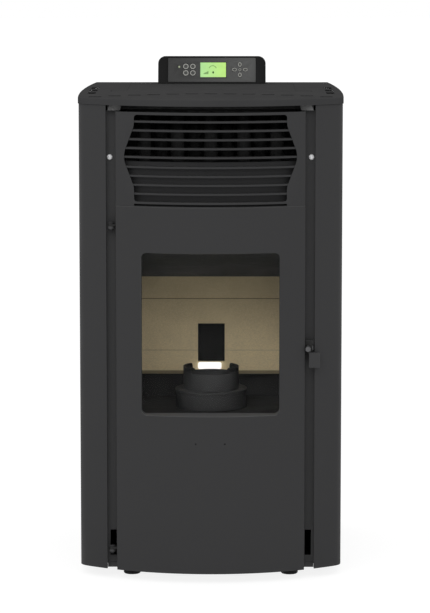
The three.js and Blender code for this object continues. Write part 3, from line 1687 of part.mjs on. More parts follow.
function doorFrame() {
  const halfWidth = doorHalfWidth - sheet - fitGap;
  const y = [doorPlateY, doorPlateY + doorFrameThickness];
  const plate = block([-halfWidth, halfWidth], y, [doorFrameBottom, doorFrameTop]);
  const opening = carryBack(windowShape(doorFrameLap), y[0] - 1, y[1] + 1);
  const lugs = hingeLevels.map((z) => hingeLug(-halfWidth + hingeLugWeld, null, z));
  const ear = block([halfWidth - 1, latchX + latchEarReach], y, [earBottom, earTop]);
  const spindleHole = rodAlongY(
    latchShaftRadius + fitGap,
    y[0] - 1,
    y[1] + 1,
    latchX,
    latchZ,
    smallFacets,
  );
  return cut(unite(plate.subtract(opening), ear), spindleHole).add(unite(...lugs));
}

function doorGlass() {
  const shape = windowShape(glassLap);
  return carryBack(shape, glassFrontY, glassFrontY + glassThickness, 3);
}

function doorGasket() {
  const rear = facePlateY - fitGap;
  const outline = roundedRect(gasketHalfWidth, gasketBottom, gasketTop, gasketCorner);
  const inner = roundedRect(
    gasketHalfWidth - gasketWidth,
    gasketBottom + gasketWidth,
    gasketTop - gasketWidth,
    gasketCorner - gasketWidth,
  );
  const ring = carryBack(outline, gasketFrontY, rear, 4);
  return ring.subtract(carryBack(inner, gasketFrontY - 1, rear + 1, 4));
}

// A headed pin that drops through the door's lug and the post's lug below it.
function hingePin() {
  const bottom = -hingeLugThickness - fitGap - hingePinTail;
  const top = hingeLugThickness + fitGap;
  return turned([
    [0, bottom],
    [hingePinRadius, bottom],
    [hingePinRadius, top],
    [hingePinHeadRadius, top],
    [hingePinHeadRadius, top + hingePinHead],
    [0, top + hingePinHead],
  ], smallFacets);
}

addPiece('door_skin', doorSkin(), casingPaint());
addPiece('door_frame', doorFrame(), innerSteel());
addPiece('door_glass', doorGlass(), stoveGlass());
addPiece('door_gasket', doorGasket(), ropeSeal());
addPiece('hinge_pin_lower', hingePin(), zincPlate()).position.set(hingeX, hingeY, hingeLowerZ);
addPiece('hinge_pin_upper', hingePin(), zincPlate()).position.set(hingeX, hingeY, hingeUpperZ);

// ---------------------------------------------------------------- latch

// The spindle: a bright hexagon in front, a shaft through the ear, a tongue behind it.
function latchSpindle() {
  const hexRear = latchHexFrontY + latchHexLength;
  const hex = rodAlongY(latchHexRadius, latchHexFrontY, hexRear, 0, 0, 6);
  const shaft = rodAlongY(latchShaftRadius, hexRear - 1, tongueRearY, 0, 0, smallFacets);
  const tongue = block(
    [-latchTongueHeight / 2, latchTongueReach],
    [tongueFrontY, tongueRearY],
    [-latchTongueHeight / 2, latchTongueHeight / 2],
  );
  return unite(hex, shaft, tongue);
}

function latchHandle() {
  const hubFront = latchHexFrontY + latchHexLength + fitGap;
  const hubRear = doorPlateY - fitGap;
  const hub = rodAlongY(latchHubRadius, hubFront, hubRear, 0, 0, smallFacets);
  const armRear = latchArmFrontY + latchArmThickness;
  const armX = [latchArmLeft - latchX, latchArmRight - latchX];
  const arm = block(armX, [latchArmFrontY, armRear], [latchArmBottom - latchZ, latchArmTop - latchZ]);
  const web = block(
    [armX[0] - 1, armX[0] + latchWeb],
    [hubFront, armRear],
    [latchArmTop - latchZ - latchWeb, 0],
  );
  const bore = rodAlongY(latchShaftRadius + fitGap, hubFront - 1, hubRear + 1, 0, 0, smallFacets);
  const hexRoom = rodAlongY(
    latchHexRadius + fitGap,
    latchHexFrontY - 1,
    hubFront,
    0,
    0,
    smallFacets,
  );
  return cut(unite(hub, arm, web), bore, hexRoom);
}

addPiece('latch_spindle', latchSpindle(), zincPlate()).position.set(latchX, 0, latchZ);
addPiece('latch_handle', latchHandle(), blackPlastic()).position.set(latchX, 0, latchZ);

// ---------------------------------------------------------------- console

// The console group's local Y runs into the housing and its local Z up along the face.
const consoleGroup = new THREE.Group();
consoleGroup.position.set(0, consoleFrontY, topSurface + fitGap);
consoleGroup.rotation.x = -radians(consoleTilt);
stove.add(consoleGroup);

const faceRise = consoleRise / Math.cos(radians(consoleTilt));
const faceRearY = faceSetIn + faceThickness;

function consoleHousing() {
  const shape = new THREE.Shape();
  const drop = 20;
  shape.moveTo(-consoleHalfWidth, -drop);
  shape.lineTo(consoleHalfWidth, -drop);
  shape.lineTo(consoleHalfWidth, faceRise - consoleCorner);
  shape.absarc(consoleHalfWidth - consoleCorner, faceRise - consoleCorner, consoleCorner, 0, Math.PI / 2);
  shape.lineTo(-consoleHalfWidth + consoleCorner, faceRise);
  shape.absarc(
    -consoleHalfWidth + consoleCorner,
    faceRise - consoleCorner,
    consoleCorner,
    Math.PI / 2,
    Math.PI,
  );
  const bulk = carryBack(shape, 0, consoleDepth + drop, 5);
  const recess = block(
    [-faceHalfWidth - fitGap, faceHalfWidth + fitGap],
    [-1, consoleDepth - consoleWall],
    [consoleWall, faceRise - consoleWall],
  );
  const tilt = consoleTilt;
  const wide = [-consoleHalfWidth - 1, consoleHalfWidth + 1];
  const aboveTop = block(wide, [-10, 90], [0, 90]).rotate([tilt, 0, 0]);
  const rearLimit = bodyDepth - sheet - consoleFrontY;
  const aheadOfRear = block(wide, [-90, rearLimit], [-90, 120]).rotate([tilt, 0, 0]);
  return bulk.subtract(recess).intersect(aboveTop).intersect(aheadOfRear);
}

function consoleFace() {
  const half = faceHalfWidth;
  const edge = consoleWall + fitGap;
  const y = [faceSetIn, faceRearY];
  const sheetSolid = block([-half, half], y, [edge, faceRise - edge]);
  const through = [y[0] - 1, y[1] + 1];
  const lcdHole = frontBlock(lcdX, lcdMiddle, lcdHalfWidth + fitGap, lcdHalfHeight + fitGap, through);
  const ledHole = rodAlongY(ledRadius + fitGap, ...through, ledX, ledMiddle, 12);
  const keyHoles = keyList().map(({ x, z, wide, tall }) => (
    ovalAlongY(wide + fitGap, tall + fitGap, ...through).translate([x, 0, z])
  ));
  return cut(sheetSolid, lcdHole, ledHole, ...keyHoles);
}

function ovalAlongY(wide, tall, front, rear) {
  return rodAlongY(1, front, rear, 0, 0, smallFacets).scale([wide, 1, tall]);
}

function keyList() {
  const round = [
    ['key_lower_left', roundKeyX[0], roundKeyLevel[0]],
    ['key_lower_right', roundKeyX[1], roundKeyLevel[0]],
    ['key_upper_left', roundKeyX[0], roundKeyLevel[1]],
    ['key_upper_right', roundKeyX[1], roundKeyLevel[1]],
  ].map(([name, x, z]) => ({ name, x, z, wide: roundKeyRadius, tall: roundKeyRadius }));
  const pad = [
    { name: 'key_up', x: padX, z: padMiddle + padReachUp, wide: padKeyShort, tall: padKeyLong },
    { name: 'key_down', x: padX, z: padMiddle - padReachUp, wide: padKeyShort, tall: padKeyLong },
    { name: 'key_left', x: padX - padReachX, z: padMiddle, wide: padKeyLong, tall: padKeyShort },
    { name: 'key_right', x: padX + padReachX, z: padMiddle, wide: padKeyLong, tall: padKeyShort },
    { name: 'key_ok', x: padX, z: padMiddle, wide: okKeyRadius, tall: okKeyRadius },
  ];
  return [...round, ...pad];
}

// A key cap that shows through the face, with a flange behind it.
function keyCap(wide, tall) {
  const flangeFront = faceRearY + fitGap;
  const cap = ovalAlongY(wide, tall, faceSetIn - keyProud, flangeFront + keyFlangeThickness);
  const lip = keyFlange + fitGap;
  const flange = ovalAlongY(wide + lip, tall + lip, flangeFront, flangeFront + keyFlangeThickness);
  return unite(cap, flange);
}

// The display module: its screen stands in the face's window, its frame behind the face.
function lcdDisplay() {
  const frameFront = faceRearY + fitGap;
  const screen = frontBlock(0, 0, lcdHalfWidth, lcdHalfHeight, [faceSetIn + 0.2, frameFront + 1]);
  const frame = frontBlock(
    0,
    0,
    lcdHalfWidth + lcdLap,
    lcdHalfHeight + lcdLap,
    [frameFront, frameFront + lcdThickness],
  );
  return unite(screen, frame);
}

function statusLed() {
  const rear = faceRearY + fitGap + 3;
  const lens = rodAlongY(ledRadius, faceSetIn - 0.6, rear, 0, 0, 12);
  const collar = rodAlongY(ledRadius + 1, faceRearY + fitGap, rear, 0, 0, 12);
  return unite(lens, collar);
}

addPiece('console_housing', consoleHousing(), blackPlastic(), consoleGroup);
addPiece('console_face', consoleFace(), greyFilm(), consoleGroup);
addPiece('lcd_display', lcdDisplay(), lcdGreen(), consoleGroup).position.set(lcdX, 0, lcdMiddle);
addPiece('status_led', statusLed(), ledLens(), consoleGroup).position.set(ledX, 0, ledMiddle);
keyList().forEach(({ name, x, z, wide, tall }) => {
  addPiece(name, keyCap(wide, tall), keyFilm(), consoleGroup).position.set(x, 0, z);
});

// ---------------------------------------------------------------- whole stove

stove.position.y = -footprintMiddleY;
const part = new THREE.Group();
part.add(stove);

export default part;
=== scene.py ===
# %% [markdown]
# # A pellet stove
#
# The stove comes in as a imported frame: every piece already has its real size, its place and the
# body that it moves with. This lesson dresses that frame. Pieces that the eye rests on, such as
# the bowed sheets, the louvres, the console and the burn pot, are modelled again with rounder
# edges, and the rest keeps its shape and gets softened edges and a finish of its own.

# %% Load the frame
import json
import math
from contextlib import contextmanager

import bmesh
import bpy
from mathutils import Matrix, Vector


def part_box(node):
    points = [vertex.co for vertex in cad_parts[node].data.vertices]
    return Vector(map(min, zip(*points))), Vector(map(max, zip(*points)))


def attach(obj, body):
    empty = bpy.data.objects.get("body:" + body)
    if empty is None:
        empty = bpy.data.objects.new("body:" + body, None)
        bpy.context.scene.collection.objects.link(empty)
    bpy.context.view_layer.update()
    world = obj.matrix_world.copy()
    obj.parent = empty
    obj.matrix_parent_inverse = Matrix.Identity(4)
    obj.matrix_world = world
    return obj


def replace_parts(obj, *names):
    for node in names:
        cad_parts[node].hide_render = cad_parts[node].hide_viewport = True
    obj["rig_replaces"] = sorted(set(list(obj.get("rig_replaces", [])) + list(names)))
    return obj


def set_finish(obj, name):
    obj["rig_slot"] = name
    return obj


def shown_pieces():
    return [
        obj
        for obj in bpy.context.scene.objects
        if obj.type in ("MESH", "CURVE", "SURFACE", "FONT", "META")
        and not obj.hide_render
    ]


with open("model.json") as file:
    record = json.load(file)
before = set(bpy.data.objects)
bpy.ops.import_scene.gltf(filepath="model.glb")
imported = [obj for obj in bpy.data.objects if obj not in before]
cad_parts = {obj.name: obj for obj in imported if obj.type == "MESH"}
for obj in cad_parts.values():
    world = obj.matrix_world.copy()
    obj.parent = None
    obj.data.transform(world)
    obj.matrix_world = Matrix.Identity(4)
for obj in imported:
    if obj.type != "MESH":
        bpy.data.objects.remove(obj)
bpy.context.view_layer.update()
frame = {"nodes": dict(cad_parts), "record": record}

# %% [markdown]
# ## Sizes that the whole stove shares
#
# Everything is in metres. The front of the stove is one shallow bow, the sides are two very long
# bows, and a small round joins them. Three circles are enough to describe the casing's plan, so
# they are written once here, and every sheet that follows the casing is swept round them.

# %% Plan of the casing
MM = 0.001
SHEET = 2 * MM
GAP = 0.3 * MM
BOW_RADIUS = 450 * MM
SIDE_RADIUS = 3470 * MM
CORNER_RADIUS = 30 * MM
CASING_HALF = 277.3 * MM
WIDEST_DEPTH = 259 * MM

FRONT_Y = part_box("front_grille")[0].y
bow_centre = Vector((0, FRONT_Y + BOW_RADIUS, 0))
side_centre = Vector((CASING_HALF - SIDE_RADIUS, FRONT_Y + WIDEST_DEPTH, 0))


def meeting_point(a, radius_a, b, radius_b):
    """The point on the right that is radius_a from a and radius_b from b."""
    between = b - a
    along = (radius_a**2 - radius_b**2 + between.length_squared) / (2 * between.length)
    across = math.sqrt(radius_a**2 - along**2)
    unit = between.normalized()
    side = Vector((-unit.y, unit.x, 0))
    ends = [a + unit * along + side * across * way for way in (-1, 1)]
    return max(ends, key=lambda point: point.x)


def bearing(centre, target):
    """The angle of a target seen from a centre, from straight forward round to the right."""
    return math.atan2(target.x - centre.x, centre.y - target.y)


def bow_y(x, inset=0.0):
    """How far back the front bow is at x."""
    return bow_centre.y - math.sqrt((BOW_RADIUS - inset) ** 2 - x**2)


corner_centre = meeting_point(
    bow_centre, BOW_RADIUS - CORNER_RADIUS, side_centre, SIDE_RADIUS - CORNER_RADIUS
)
print("front at", round(FRONT_Y, 4), "corner centre", [round(c, 4) for c in corner_centre])

# %% [markdown]
# ## Camera
#
# The photograph looks straight at the front from a little above, through a long lens, so upright
# edges stay upright. The camera stands slightly to the right of the middle, and its picture is
# taken to be 430 by 613 pixels.

# %% Camera
CAMERA_RIGHT = 36 * MM
CAMERA_DISTANCE = 6180 * MM
CAMERA_HEIGHT = 1410 * MM
CAMERA_DOWN = math.radians(7.63)
CAMERA_LEFT_TURN = math.radians(0.2468)
FOCAL_PIXELS = 3034
PICTURE_HEIGHT = 613
SENSOR = 36.0

camera_data = bpy.data.cameras.new("camera")
camera_data.sensor_width = SENSOR
camera_data.lens = FOCAL_PIXELS * SENSOR / PICTURE_HEIGHT
camera_data.clip_end = 50
camera = bpy.data.objects.new("camera", camera_data)
camera.location = (CAMERA_RIGHT, FRONT_Y - CAMERA_DISTANCE, CAMERA_HEIGHT)
camera.rotation_euler = (math.radians(90) - CAMERA_DOWN, 0, CAMERA_LEFT_TURN)
bpy.context.scene.collection.objects.link(camera)
bpy.context.scene.camera = camera
print("lens", round(camera_data.lens, 1), "mm")

# %% [markdown]
# ## Tools of the bench
#
# Modelling by hand is always the same few moves: add a primitive, go into edit mode, select
# something by where it is, apply an operator, and finish with modifiers. These helpers wrap the
# moves, so that each piece below reads as a list of them. An operator works on whatever is
# selected, so every helper starts by selecting only what it means.


# %% Selecting and editing
def alone(piece):
    bpy.ops.object.select_all(action="DESELECT")
    piece.select_set(True)
    bpy.context.view_layer.objects.active = piece


@contextmanager
def editing(piece):
    alone(piece)
    bpy.ops.object.mode_set(mode="EDIT")
    yield
    bpy.ops.object.mode_set(mode="OBJECT")


def select_everything():
    bpy.ops.mesh.select_all(action="SELECT")


def middle(item):
    points = [item.co] if isinstance(item, bmesh.types.BMVert) else [v.co for v in item.verts]
    return sum(points, Vector()) / len(points)


def pick(kind, test):
    """In edit mode, select the VERT, EDGE or FACE items that pass a test."""
    bpy.ops.mesh.select_mode(type=kind)
    bpy.ops.mesh.select_all(action="DESELECT")
    data = bpy.context.edit_object.data
    mesh = bmesh.from_edit_mesh(data)
    items = {"VERT": mesh.verts, "EDGE": mesh.edges, "FACE": mesh.faces}[kind]
    chosen = [item for item in items if test(item)]
    if not chosen:
        raise ValueError(f"nothing to pick on {bpy.context.edit_object.name}")
    for item in chosen:
        item.select_set(True)
    mesh.select_flush_mode()
    bmesh.update_edit_mesh(data)


def near(a, b, slack=1e-5):
    return abs(a - b) < slack


def at_height(height):
    """A test for edges whose two ends are at this height."""
    return lambda edge: all(near(v.co.z, height) for v in edge.verts)


def bevel(width, segments, affect="EDGES"):
    bpy.ops.mesh.bevel(offset=width, segments=segments, affect=affect)


def extrude(shift):
    bpy.ops.mesh.extrude_region_move(TRANSFORM_OT_translate={"value": tuple(shift)})


# %% Primitives
def settle(name):
    """Name the new primitive and move its place and size into its mesh."""
    piece = bpy.context.active_object
    piece.name = name
    piece.data.name = name
    bpy.ops.object.transform_apply(location=True, rotation=True, scale=True)
    return piece


def put(piece, location=(0, 0, 0), rotation=(0, 0, 0), scale=(1, 1, 1)):
    """Place, turn and stretch a piece, and move all that into its mesh."""
    alone(piece)
    piece.location, piece.rotation_euler, piece.scale = location, rotation, scale
    bpy.ops.object.transform_apply(location=True, rotation=True, scale=True)
    return piece


def block(name, low, high):
    """A block between two opposite corners, given in any order."""
    bpy.ops.object.select_all(action="DESELECT")
    centre = [(a + b) / 2 for a, b in zip(low, high)]
    bpy.ops.mesh.primitive_cube_add(size=1, location=centre)
    bpy.context.active_object.scale = [abs(b - a) for a, b in zip(low, high)]
    return settle(name)


def round_bar(name, radius, start, end, sides=48):
    """A cylinder between two points on a line along x, y or z."""
    bpy.ops.object.select_all(action="DESELECT")
    start, end = Vector(start), Vector(end)
    bpy.ops.mesh.primitive_cylinder_add(
        vertices=sides, radius=radius, depth=(end - start).length, location=(start + end) / 2
    )
    along = (end - start).normalized()
    bpy.context.active_object.rotation_euler = Vector((0, 0, 1)).rotation_difference(along).to_euler()
    return settle(name)


def upright_edge(name, x, y, low_z, high_z):
    """A single upright edge, ready to be swept into a wall."""
    bpy.ops.object.select_all(action="DESELECT")
    height = high_z - low_z
    bpy.ops.mesh.primitive_plane_add(
        size=height, location=(x + height / 2, y, low_z + height / 2), rotation=(math.pi / 2, 0, 0)
    )
    piece = settle(name)
    with editing(piece):
        pick("VERT", lambda v: v.co.x > x + height / 2)
        bpy.ops.mesh.delete(type="VERT")
        select_everything()
    return piece


# %% Sweeps, modifiers and copies
def sweep(centre, angle, steps):
    """Sweep what is selected round an upright axis; a positive angle goes to the right."""
    bpy.ops.mesh.spin(steps=steps, angle=-angle, center=tuple(centre), axis=(0, 0, 1))


def modify(piece, kind, **settings):
    alone(piece)
    modifier = piece.modifiers.new(kind.title(), kind)
    for key, value in settings.items():
        setattr(modifier, key, value)
    bpy.ops.object.modifier_apply(modifier=modifier.name)


def mirror_across(piece):
    """Add the left half to a right half whose cut edge is on the middle plane."""
    modify(piece, "MIRROR", use_axis=(True, False, False), use_clip=True, merge_threshold=1e-5)


def thicken(piece, even=True):
    """Give a wall the thickness of the sheet, on its inner side."""
    modify(piece, "SOLIDIFY", thickness=SHEET, offset=-1, use_even_offset=even)


def combine(piece, other, operation):
    """Cut, join or keep what two closed pieces share, and use the other one up."""
    modify(piece, "BOOLEAN", object=other, operation=operation, solver="EXACT")
    bpy.data.objects.remove(other)


def round_edges(piece, width, segments=2, angle=35):
    modify(
        piece,
        "BEVEL",
        width=width,
        segments=segments,
        limit_method="ANGLE",
        angle_limit=math.radians(angle),
    )


def tidy_faces(piece, open_shell_inside=None):
    """Merge doubles and point the faces outwards; an open shell is turned away from a point."""
    with editing(piece):
        select_everything()
        bpy.ops.mesh.remove_doubles(threshold=1e-6)
        bpy.ops.mesh.normals_make_consistent(inside=False)
    if open_shell_inside is not None:
        inside = Vector(open_shell_inside)
        outward = sum((f.center - inside).dot(f.normal) * f.area for f in piece.data.polygons)
        if outward < 0:
            with editing(piece):
                select_everything()
                bpy.ops.mesh.flip_normals()


def copy_of(piece, name, shift=(0, 0, 0), mirror=False):
    twin = piece.copy()
    twin.data = piece.data.copy()
    twin.name = twin.data.name = name
    bpy.context.scene.collection.objects.link(twin)
    put(twin, shift, scale=(-1 if mirror else 1, 1, 1))
    if mirror:
        with editing(twin):
            select_everything()
            bpy.ops.mesh.normals_make_consistent(inside=False)
    return twin


def join(name, pieces):
    bpy.ops.object.select_all(action="DESELECT")
    for piece in pieces:
        piece.select_set(True)
    bpy.context.view_layer.objects.active = pieces[0]
    bpy.ops.object.join()
    pieces[0].name = pieces[0].data.name = name
    return pieces[0]


def finished(piece, body, nodes=(), slot=None, angle=35, even=False):
    """Shade a piece, hang it on its body, and let it stand for the CAD nodes it replaces."""
    alone(piece)
    bpy.ops.object.shade_smooth_by_angle(angle=math.radians(angle))
    if even:
        modify(piece, "WEIGHTED_NORMAL", keep_sharp=True)
    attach(piece, body)
    if nodes:
        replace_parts(piece, *nodes)
    if slot:
        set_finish(piece, slot)
    print(piece.name, len(piece.data.polygons), "faces on", body)
    return piece


# %% [markdown]
# ## Side panels
#
# Each side of the stove is one sheet of steel. It starts as a fold down into the groove beside
# the door, follows the front bow, turns the corner, runs back along the long side bow and ends in
# a narrow fold behind. A wall like this is swept rather than carved: an upright edge goes round
# one circle after the other, and Solidify gives the sheet its thickness.

# %% Side panels
def casing_arcs(inset, start_x, end_y):
    """The three sweeps of the right half of the casing: centre, angle and number of steps."""
    turns = [
        math.asin(start_x / (BOW_RADIUS - inset)),
        bearing(bow_centre, corner_centre),
        bearing(side_centre, corner_centre),
        math.acos((side_centre.y - end_y) / (SIDE_RADIUS - inset)),
    ]
    centres = [bow_centre, corner_centre, side_centre]
    steps = [max(4, round((turns[1] - turns[0]) / math.radians(1.5))), 14, 24]
    return [(centres[i], turns[i + 1] - turns[i], steps[i]) for i in range(3)]


def side_panel():
    low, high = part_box("side_panel_right")
    groove_wall_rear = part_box("firebox")[0].y - GAP
    piece = upright_edge("side_sheet_right", low.x, groove_wall_rear, low.z, high.z)
    rear_fold = 18 * MM
    with editing(piece):
        extrude((0, bow_y(low.x) - groove_wall_rear, 0))
        for centre, angle, steps in casing_arcs(0, low.x, high.y):
            sweep(centre, angle, steps)
        extrude((-rear_fold, 0, 0))
    tidy_faces(piece, open_shell_inside=(0, 0, 0.5))
    thicken(piece)
    round_edges(piece, 0.7 * MM)
    return piece


side_right = side_panel()
side_left = copy_of(side_right, "side_sheet_left", mirror=True)
finished(side_right, "stove_body", ["side_panel_right"], "casing_paint")
finished(side_left, "stove_body", ["side_panel_left"], "casing_paint")

# %% [markdown]
# ## A bowed front
#
# The grille and the door are the same kind of pressing: a sheet that follows the front bow and
# folds straight back on both sides. One helper makes that sheet for both. The window and the
# louvre opening are then cut with Boolean modifiers, because their outlines cross the curve, and
# a last Bevel takes the sharpness off every cut edge, which is what catches the light.


# %% Bowed sheet and rounded blocks
def bowed_wall(name, half, rear_y, low_z, high_z, inset=0.0, steps=36):
    piece = upright_edge(name, -half, rear_y, low_z, high_z)
    front = bow_y(half, inset)
    reach = math.asin(half / (BOW_RADIUS - inset))
    with editing(piece):
        extrude((0, front - rear_y, 0))
        sweep(bow_centre, 2 * reach, steps)
        extrude((0, rear_y - front, 0))
    return piece


def cap(piece, *heights):
    """Close a wall at the given heights."""
    for height in heights:
        with editing(piece):
            pick("EDGE", at_height(height))
            bpy.ops.mesh.edge_face_add()


def rounded_block(name, low, high, radius, axis, segments=8):
    """A block whose four edges along one axis are rounded."""
    piece = block(name, low, high)
    others = [i for i in range(3) if i != axis]
    with editing(piece):
        pick("EDGE", lambda e: all(near(e.verts[0].co[i], e.verts[1].co[i]) for i in others))
        bevel(radius, segments)
    return piece


# %% [markdown]
# ## Grille above the door
#
# Warm air leaves through a louvred opening that is wider in its middle than at its ends. Eleven
# slats run across it. The slats are one rounded section swept along the bow, mirrored and
# repeated; the upper ones sit two millimetres higher. A bowed plate closes the lower slats from
# behind, so only the upper ones are open, and a last slot opens under the lowest one.

# %% Grille frame
GRILLE_SLATS = 11
SLAT_PITCH = 18.3 * MM
SLAT_THICK = 4.4 * MM
SLAT_DEPTH = 14 * MM
SLAT_SET_BACK = 1 * MM
SLAT_HALF = 186 * MM
TOP_SLAT_Z = 976.6 * MM
NARROW_HALF = 157 * MM
WIDE_HALF = 177.5 * MM
OPENING_TURNS = [825 * MM, 879 * MM, 897 * MM, 952 * MM]
OPENING_CORNER = 6 * MM
LAST_SLAT_Z = TOP_SLAT_Z - (GRILLE_SLATS - 1) * SLAT_PITCH
CUT_FRONT = FRONT_Y - 10 * MM
CUT_REAR = FRONT_Y + 68 * MM
LOUVRE_BACK_TOP = 878 * MM
LIFTED_SLATS = 5
LOWEST_STRIP = 1.2 * MM
SLAT_LIFT = 2 * MM
SLAT_ROUND = 1.6 * MM


def louvre_cutter():
    low = (-NARROW_HALF, CUT_FRONT, LAST_SLAT_Z + SLAT_THICK / 2)
    high = (NARROW_HALF, CUT_REAR, TOP_SLAT_Z - SLAT_THICK / 2)
    cutter = block("louvre_cutter", low, high)
    with editing(cutter):
        for height in OPENING_TURNS:
            select_everything()
            bpy.ops.mesh.bisect(plane_co=(0, 0, height), plane_no=(0, 0, 1))
        shoulders = OPENING_TURNS[1:3]
        pick("VERT", lambda v: shoulders[0] - 1e-4 < v.co.z < shoulders[1] + 1e-4)
        stretch = WIDE_HALF / NARROW_HALF
        bpy.ops.transform.resize(value=(stretch, 1, 1), center_override=(0, 0, 0))
        pick("EDGE", lambda e: all(abs(v.co.x) > NARROW_HALF - 1e-4 for v in e.verts)
             and not near(e.verts[0].co.y, e.verts[1].co.y))
        bevel(OPENING_CORNER, 4)
    return cutter


grille_low, grille_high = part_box("front_grille")
grille = bowed_wall("grille_frame", grille_high.x, grille_high.y, grille_low.z, grille_high.z)
tidy_faces(grille, open_shell_inside=(0, 0, 0.88))
thicken(grille)
combine(grille, louvre_cutter(), "DIFFERENCE")
lowest_slot = block(
    "lowest_slot",
    (-NARROW_HALF, CUT_FRONT, grille_low.z + LOWEST_STRIP),
    (NARROW_HALF, CUT_REAR, LAST_SLAT_Z - SLAT_THICK / 2),
)
combine(grille, lowest_slot, "DIFFERENCE")
round_edges(grille, 0.6 * MM)


# %% Slats and the plate behind them
def slat():
    y = FRONT_Y + SLAT_SET_BACK
    low_z = TOP_SLAT_Z - SLAT_THICK / 2
    piece = upright_edge("grille_slats", 0, y, low_z, low_z + SLAT_THICK)
    reach = math.asin(SLAT_HALF / (BOW_RADIUS - SLAT_SET_BACK))
    with editing(piece):
        extrude((0, SLAT_DEPTH, 0))
        pick("VERT", lambda v: near(v.co.y, y))
        bevel(SLAT_ROUND, 4, "VERTICES")
        pick("FACE", lambda f: True)
        bpy.ops.mesh.delete(type="ONLY_FACE")
        select_everything()
        sweep(bow_centre, reach, 18)
        pick("EDGE", lambda e: middle(e).x > SLAT_HALF / 2 and e.is_boundary)
        bpy.ops.mesh.edge_face_add()
    mirror_across(piece)
    tidy_faces(piece)
    return piece


def slat_row():
    """The top slat and its copies; the ones in the open part sit a little higher."""
    first = slat()
    row = [first]
    for index in range(1, GRILLE_SLATS):
        lift = SLAT_LIFT if index <= LIFTED_SLATS else 0
        row.append(copy_of(first, "slat", (0, 0, lift - index * SLAT_PITCH)))
    return join("grille_slats", row)


def louvre_back():
    inset = SLAT_SET_BACK + SLAT_DEPTH - 0.5 * MM
    start = bow_centre - Vector((0, BOW_RADIUS - inset, 0))
    piece = upright_edge("grille_louvre_back", 0, start.y, grille_low.z, LOUVRE_BACK_TOP)
    with editing(piece):
        sweep(bow_centre, math.asin(SLAT_HALF / (BOW_RADIUS - inset)), 18)
    mirror_across(piece)
    tidy_faces(piece, open_shell_inside=(0, bow_centre.y, 0.83))
    thicken(piece, even=False)
    round_edges(piece, 0.5 * MM)
    return piece


finished(grille, "stove_body", ["front_grille"], "casing_paint")
finished(slat_row(), "stove_body", slot="casing_paint")
finished(louvre_back(), "stove_body", slot="casing_paint")

# %% [markdown]
# ## Door
#
# The door is a shallow steel tray, open behind. Its window has a return that runs back to the
# glass, so the sheet looks thick there. The tray is a capped wall made solid, the return is a
# rounded frame trimmed to the inside of the bow, and one cutter opens both at once. The two tiny
# holes below the window are where a badge would be fixed, and stay empty.

# %% Door tray
WINDOW_HALF = 142.4 * MM
WINDOW_LOW = 352 * MM
WINDOW_HIGH = 690 * MM
WINDOW_CORNER = 10 * MM
BADGE_HOLES_X = [-30.4 * MM, 29.7 * MM]
BADGE_HOLES_Z = 294.5 * MM
BADGE_HOLE_RADIUS = 1.4 * MM
DOOR_TOP_RISE = 1.6 * MM
DOOR_EDGE = 1.0 * MM
HINGE_PINS = ("hinge_pin_lower", "hinge_pin_upper")
LUG_BELOW_PIN = 8.3 * MM
LATCH_EAR_HALF = 15 * MM


def window_block(name, grow, front_y, rear_y):
    low = (-WINDOW_HALF - grow, front_y, WINDOW_LOW - grow)
    high = (WINDOW_HALF + grow, rear_y, WINDOW_HIGH + grow)
    return rounded_block(name, low, high, WINDOW_CORNER + grow, axis=1)


def door_tray():
    low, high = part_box("door_skin")
    top_z = high.z + DOOR_TOP_RISE
    piece = bowed_wall("door_tray", high.x, high.y, low.z, top_z)
    cap(piece, low.z, top_z)
    tidy_faces(piece, open_shell_inside=(0, 0, 0.4))
    thicken(piece)

    glass_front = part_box("door_glass")[0].y - GAP
    window_return = window_block("window_return", SHEET, FRONT_Y - 10 * MM, glass_front)
    inside = bowed_wall("inside_of_bow", high.x, high.y, low.z, high.z, inset=SHEET / 2)
    cap(inside, low.z, high.z)
    with editing(inside):
        pick("EDGE", lambda e: e.is_boundary)
        bpy.ops.mesh.edge_face_add()
    tidy_faces(inside)
    combine(window_return, inside, "INTERSECT")
    combine(piece, window_return, "UNION")
    combine(piece, window_block("window", 0, FRONT_Y - 20 * MM, glass_front + 5 * MM), "DIFFERENCE")
    return piece


door = door_tray()
print("door tray", len(door.data.polygons), "faces")


# %% Notches, badge holes and edges of the door
def door_cutters():
    """Room for the two hinge lugs on the left and the latch ear on the right."""
    low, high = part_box("door_skin")
    cutters = []
    for pin in HINGE_PINS:
        pin_low, pin_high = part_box(pin)
        lug_z = pin_high.z - LUG_BELOW_PIN
        cutters.append(block(
            "hinge_notch",
            (low.x - MM, pin_low.y - 4 * MM, lug_z - 1.5 * MM),
            (low.x + SHEET + MM, high.y + MM, lug_z + 6.5 * MM),
        ))
    spindle_low, spindle_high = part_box("latch_spindle")
    middle_z = (spindle_low.z + spindle_high.z) / 2
    cutters.append(block(
        "latch_notch",
        (high.x - SHEET - MM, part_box("door_frame")[0].y - MM, middle_z - LATCH_EAR_HALF),
        (high.x + MM, high.y + MM, middle_z + LATCH_EAR_HALF),
    ))
    for x in BADGE_HOLES_X:
        start = (x, FRONT_Y - 5 * MM, BADGE_HOLES_Z)
        end = (x, FRONT_Y + 12 * MM, BADGE_HOLES_Z)
        cutters.append(round_bar("badge_hole", BADGE_HOLE_RADIUS, start, end, 16))
    return join("door_cutters", cutters)


combine(door, door_cutters(), "DIFFERENCE")
round_edges(door, DOOR_EDGE, segments=3)
finished(door, "door", ["door_skin"], "casing_paint", even=True)

# %% [markdown]
# ## Top of the stove
#
# The top is a lid-like pressing that overhangs the casing by a hair. Half of its rim is swept
# round the same three circles, mirrored, capped and rounded along its upper edge. Warm air leaves
# through thirteen slots on a shallow arc and three down each side. A thin pressed line joins the
# hopper lid to the end slots. All the openings are one joined cutter, because one Boolean on one
# flat face is cleaner than twenty in a row.

